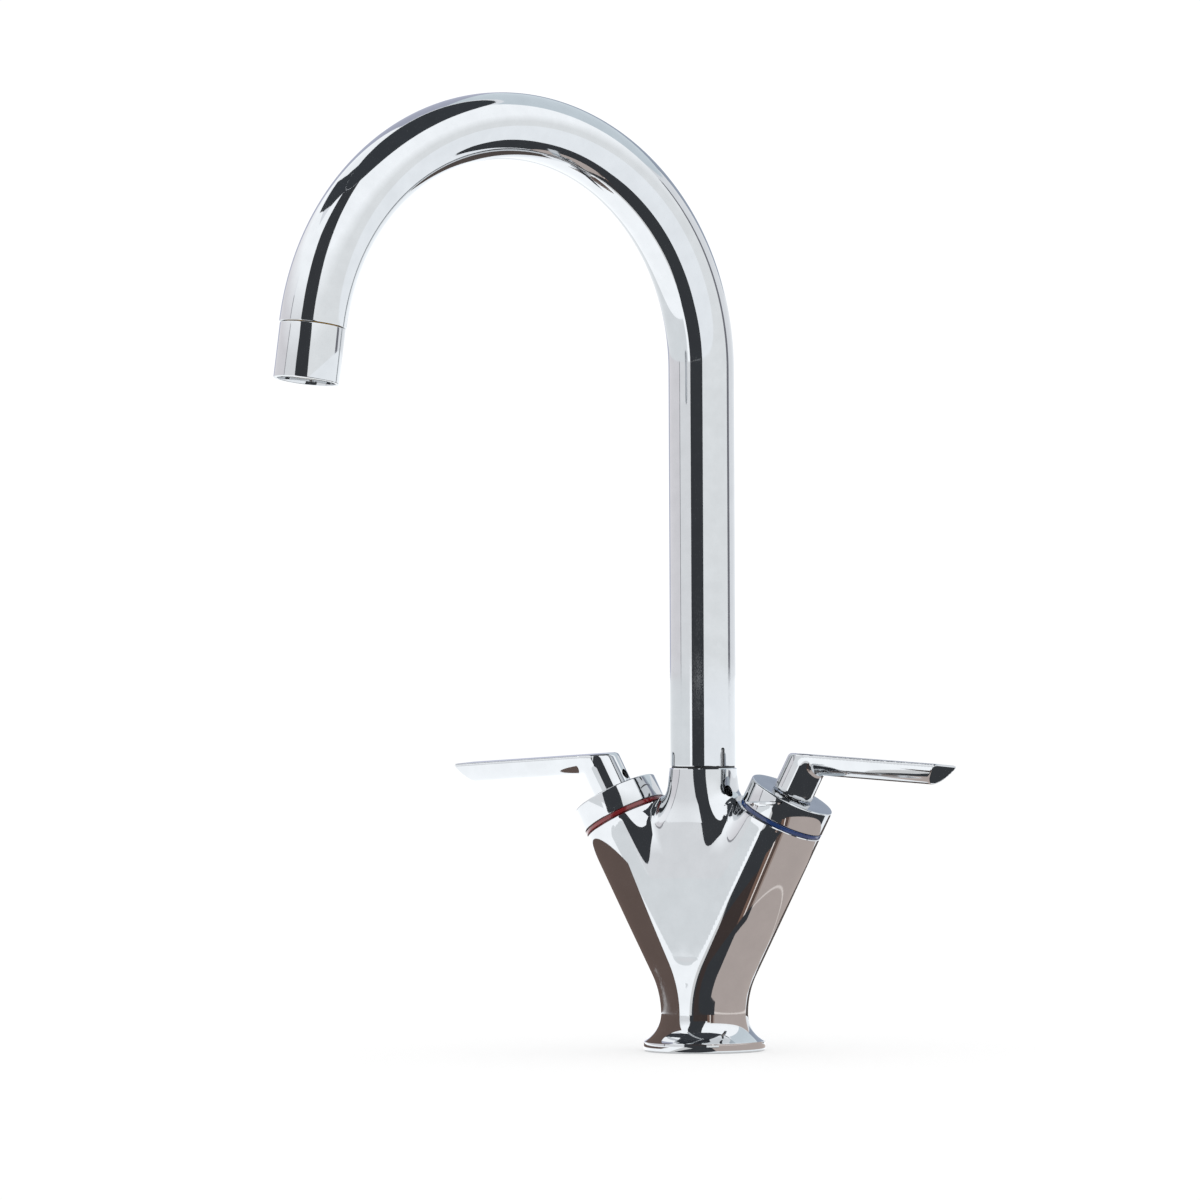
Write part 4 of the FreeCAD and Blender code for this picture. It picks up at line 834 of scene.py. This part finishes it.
def stage_mesh(name, points, faces, material, seen=False):
    """A panel, card or floor that isn't part of the tap, in metres."""
    mesh = bpy.data.meshes.new(name)
    mesh.from_pydata(points, [], faces)
    mesh.materials.append(material)
    panel = bpy.data.objects.new(name, mesh)
    scene.collection.objects.link(panel)
    panel.visible_camera = panel.visible_diffuse = panel.visible_shadow = seen


def far_panel(name, rows, code, high_code=None, far=20.0):
    """A panel far round the tap, from (elevation, left, right) rows in degrees from the camera's side."""
    points, faces, columns = [], [], 24
    for elevation, left, right in rows:
        e = radians(elevation)
        for i in range(columns + 1):
            a = CAMERA_TURN + radians(left + (right - left) * i / columns)
            points.append((far * cos(e) * sin(a), -far * cos(e) * cos(a), far * sin(e) + PANEL_LEVEL))
    for row in range(len(rows) - 1):
        for i in range(columns):
            k = row * (columns + 1) + i
            faces.append((k, k + 1, k + columns + 2, k + columns + 1))
    stage_mesh(name, points, faces, glowing(name, code, high_code))


def on_floor(u, v, height=0.0):
    """A point from its distances right of, beyond and above the tap's foot as the camera sees them, in mm."""
    x = u * cos(CAMERA_TURN) - v * sin(CAMERA_TURN)
    y = u * sin(CAMERA_TURN) + v * cos(CAMERA_TURN)
    return x * MM, y * MM, height * MM


def floor_card(name, outline, height, code):
    """A card lying on the floor inside an outline."""
    points = [on_floor(u, v, height) for u, v in outline]
    stage_mesh(name, points, [tuple(range(len(points)))], glowing(name, code))


def ring_card(name, left, right, inner, outer, height, code):
    """A card on the floor between two turns from the camera's side and two radii round the tap."""
    row = CARD_STEPS + 1
    turns = [radians(left + (right - left) * i / CARD_STEPS) for i in range(row)]
    points = [on_floor(radius * sin(a), -radius * cos(a), height) for radius in (inner, outer) for a in turns]
    faces = [(i, i + 1, i + 1 + row, i + row) for i in range(CARD_STEPS)]
    stage_mesh(name, points, faces, glowing(name, code))


def round_card(name, left, right, low, high, code, radius=105):
    """A low upright card in an arc round the tap, between two turns and two heights."""
    line = [(radius * sin(a), -radius * cos(a)) for a in np.radians(np.linspace(left, right, CARD_STEPS + 1))]
    points = [on_floor(u, v, h) for u, v in line for h in (low, high)]
    faces = [(2 * i, 2 * i + 2, 2 * i + 3, 2 * i + 1) for i in range(CARD_STEPS)]
    stage_mesh(name, points, faces, glowing(name, code))


# painted board: matt, and lit a little from within so that it stays as pale as the sky
pale, _, pale_shader = new_material("pale_floor", Roughness=0.7, Specular_IOR_Level=0.0)
pale_shader.inputs["Base Color"].default_value = linear("#c8c8c8")
pale_shader.inputs["Emission Color"].default_value = linear("#ffffff")
pale_shader.inputs["Emission Strength"].default_value = 0.42
stage_mesh("floor", [(-30, -30, 0), (30, -30, 0), (30, 30, 0), (-30, 30, 0)], [(0, 1, 2, 3)], pale, seen=True)
world = bpy.data.worlds.new("studio")
scene.world = world
world.use_nodes = True
world.node_tree.nodes["Background"].inputs["Color"].default_value = linear("#ffffff")
world.node_tree.nodes["Background"].inputs["Strength"].default_value = 1.05

far_panel("dark_panel", [(-2, -39, 4), (0, -39, 4), (10, -40, 3), (20, -39, 3), (30, -42, -1), (45, -52, -7),
                         (55, -56, -10), (62, -62, -12)], "#333538")
far_panel("surround", [(e, -180, 180) for e in (-2, 10, 25, 45, 60, 75, 89.9)], "#d4d6da", far=22.0)
far_panel("right_panel", [(-2, 4, 101), (0, 4, 101), (10, 3, 101), (20, 3, 103), (30, -1, 105), (45, -7, 105),
                          (55, -10, 105), (62, -12, 105)], "#d6d8d9", "#eef0f2")
far_panel("dark_gap", [(-2, 101, 114), (10, 101, 110), (22, 103, 107)], "#6a6a70")
far_panel("left_panel", [(-2, -81, -39), (10, -81, -40), (20, -81, -39), (30, -84, -42), (38, -84, -47),
                         (45, -84, -52), (53, -80, -55), (60, -62, -61)], "#cfd0d2", "#eef0f2")
far_panel("side_panel", [(-2, -150, -84), (10, -150, -84), (30, -150, -84), (38, -118, -84), (45, -102, -84)],
          "#c9c7ca", "#eef0f2")
far_panel("thin_gap", [(-2, -84, -81), (22, -84, -81)], "#8a8a8e")
far_panel("far_left_panel", [(30, -150, -141), (45, -152, -126), (55, -154, -116), (63, -150, -110)],
          "#e9ebed")
far_panel("back_left_panel", [(-2, -180, -150), (0, -180, -150), (20, -180, -150), (45, -180, -153),
                              (60, -180, -154)], "#9a9dac")
far_panel("back_right_panel", [(-2, 114, 180), (10, 110, 180), (22, 107, 180), (25, 105, 180)], "#cfd1d4")
far_panel("high_back_panel", [(25, 105, 180), (60, 105, 180)], "#bac3c9")
far_panel("low_back_panel", [(8, 150, 180), (25, 140, 180)], "#858d9a", far=19.9)
far_panel("dark_ceiling", [(e, -180, 180) for e in (62, 75, 89.9)], "#33363a", far=19.8)
far_panel("dark_wedge", [(38, -136, -118), (45, -128, -102), (53, -118, -80), (60, -112, -62),
                         (62.1, -111, -60)], "#33363a", far=19.7)

ring_card("near_left_floor", -180, -39, 26, 830, 0.2, "#eff1f3")
ring_card("far_left_floor", -180, -47, 830, 19900, 0.2, "#ced1d3")
ring_card("bright_edge_floor", -47, -38, 830, 19900, 0.25, "#f2f4f6")
ring_card("right_floor", -20, 180, 26, 19900, 0.2, "#e0e3e6")
floor_card("dark_floor", [(-14, -22), (-20, -60), (-90, -150), (-200, -300), (-430, -500), (-820, -1000),
                          (-12500, -15500), (1390, -19900), (90, -1000), (110, -600), (150, -330),
                          (170, -220), (300, -110), (420, -70), (500, 0), (500, 60), (430, 110), (300, 115),
                          (180, 90), (90, 40), (40, -40), (3, -26)], 0.4, "#333538")
ring_card("warm_floor", 12, 135, 27, 106, 0.6, "#a59a95")
ring_card("brown_floor", -155, -62, 34, 80, 0.6, "#5a4d48")
ring_card("back_edge_floor", 138, 172, 110, 700, 0.5, "#4a4340")
round_card("warm_edge", 24, 131, 9, 52, "#a59a95")
round_card("pale_edge", 24, 131, 7.5, 9, "#cfc6c1")
round_card("warm_foot", 24, 131, 0, 7.5, "#a59a95")
round_card("dark_front", -27, 7, 10, 40, "#3a3230")
round_card("brown_front", 7, 13, 10, 48, "#6a544a")
round_card("pale_front", 13, 15, 10, 50, "#dcd3cd")
round_card("umber_front", 15, 21, 10, 52, "#54453f")
round_card("tan_front", 21, 24, 10, 52, "#8f7f77")
round_card("brown_edge", -155, -62, 11, 72, "#5a4d48", radius=80)

camera = bpy.data.cameras.new("camera")
camera.sensor_width = 36.0
camera.sensor_fit = "HORIZONTAL"
camera.lens = 226.8
camera.clip_end = 60
eye = bpy.data.objects.new("camera", camera)
level, yaw, pitch, roll = 0.17006, 0.776, 0.164, 0.28      # height in metres, and turns in degrees
eye_point = (CAMERA_FAR * sin(CAMERA_TURN), -CAMERA_FAR * cos(CAMERA_TURN), level)
eye.matrix_world = (Matrix.Translation(eye_point) @ Matrix.Rotation(CAMERA_TURN + radians(yaw), 4, "Z")
                    @ Matrix.Rotation(radians(90 + pitch), 4, "X") @ Matrix.Rotation(radians(-roll), 4, "Z"))
scene.collection.objects.link(eye)
scene.camera = eye
scene.view_settings.view_transform = "Standard"
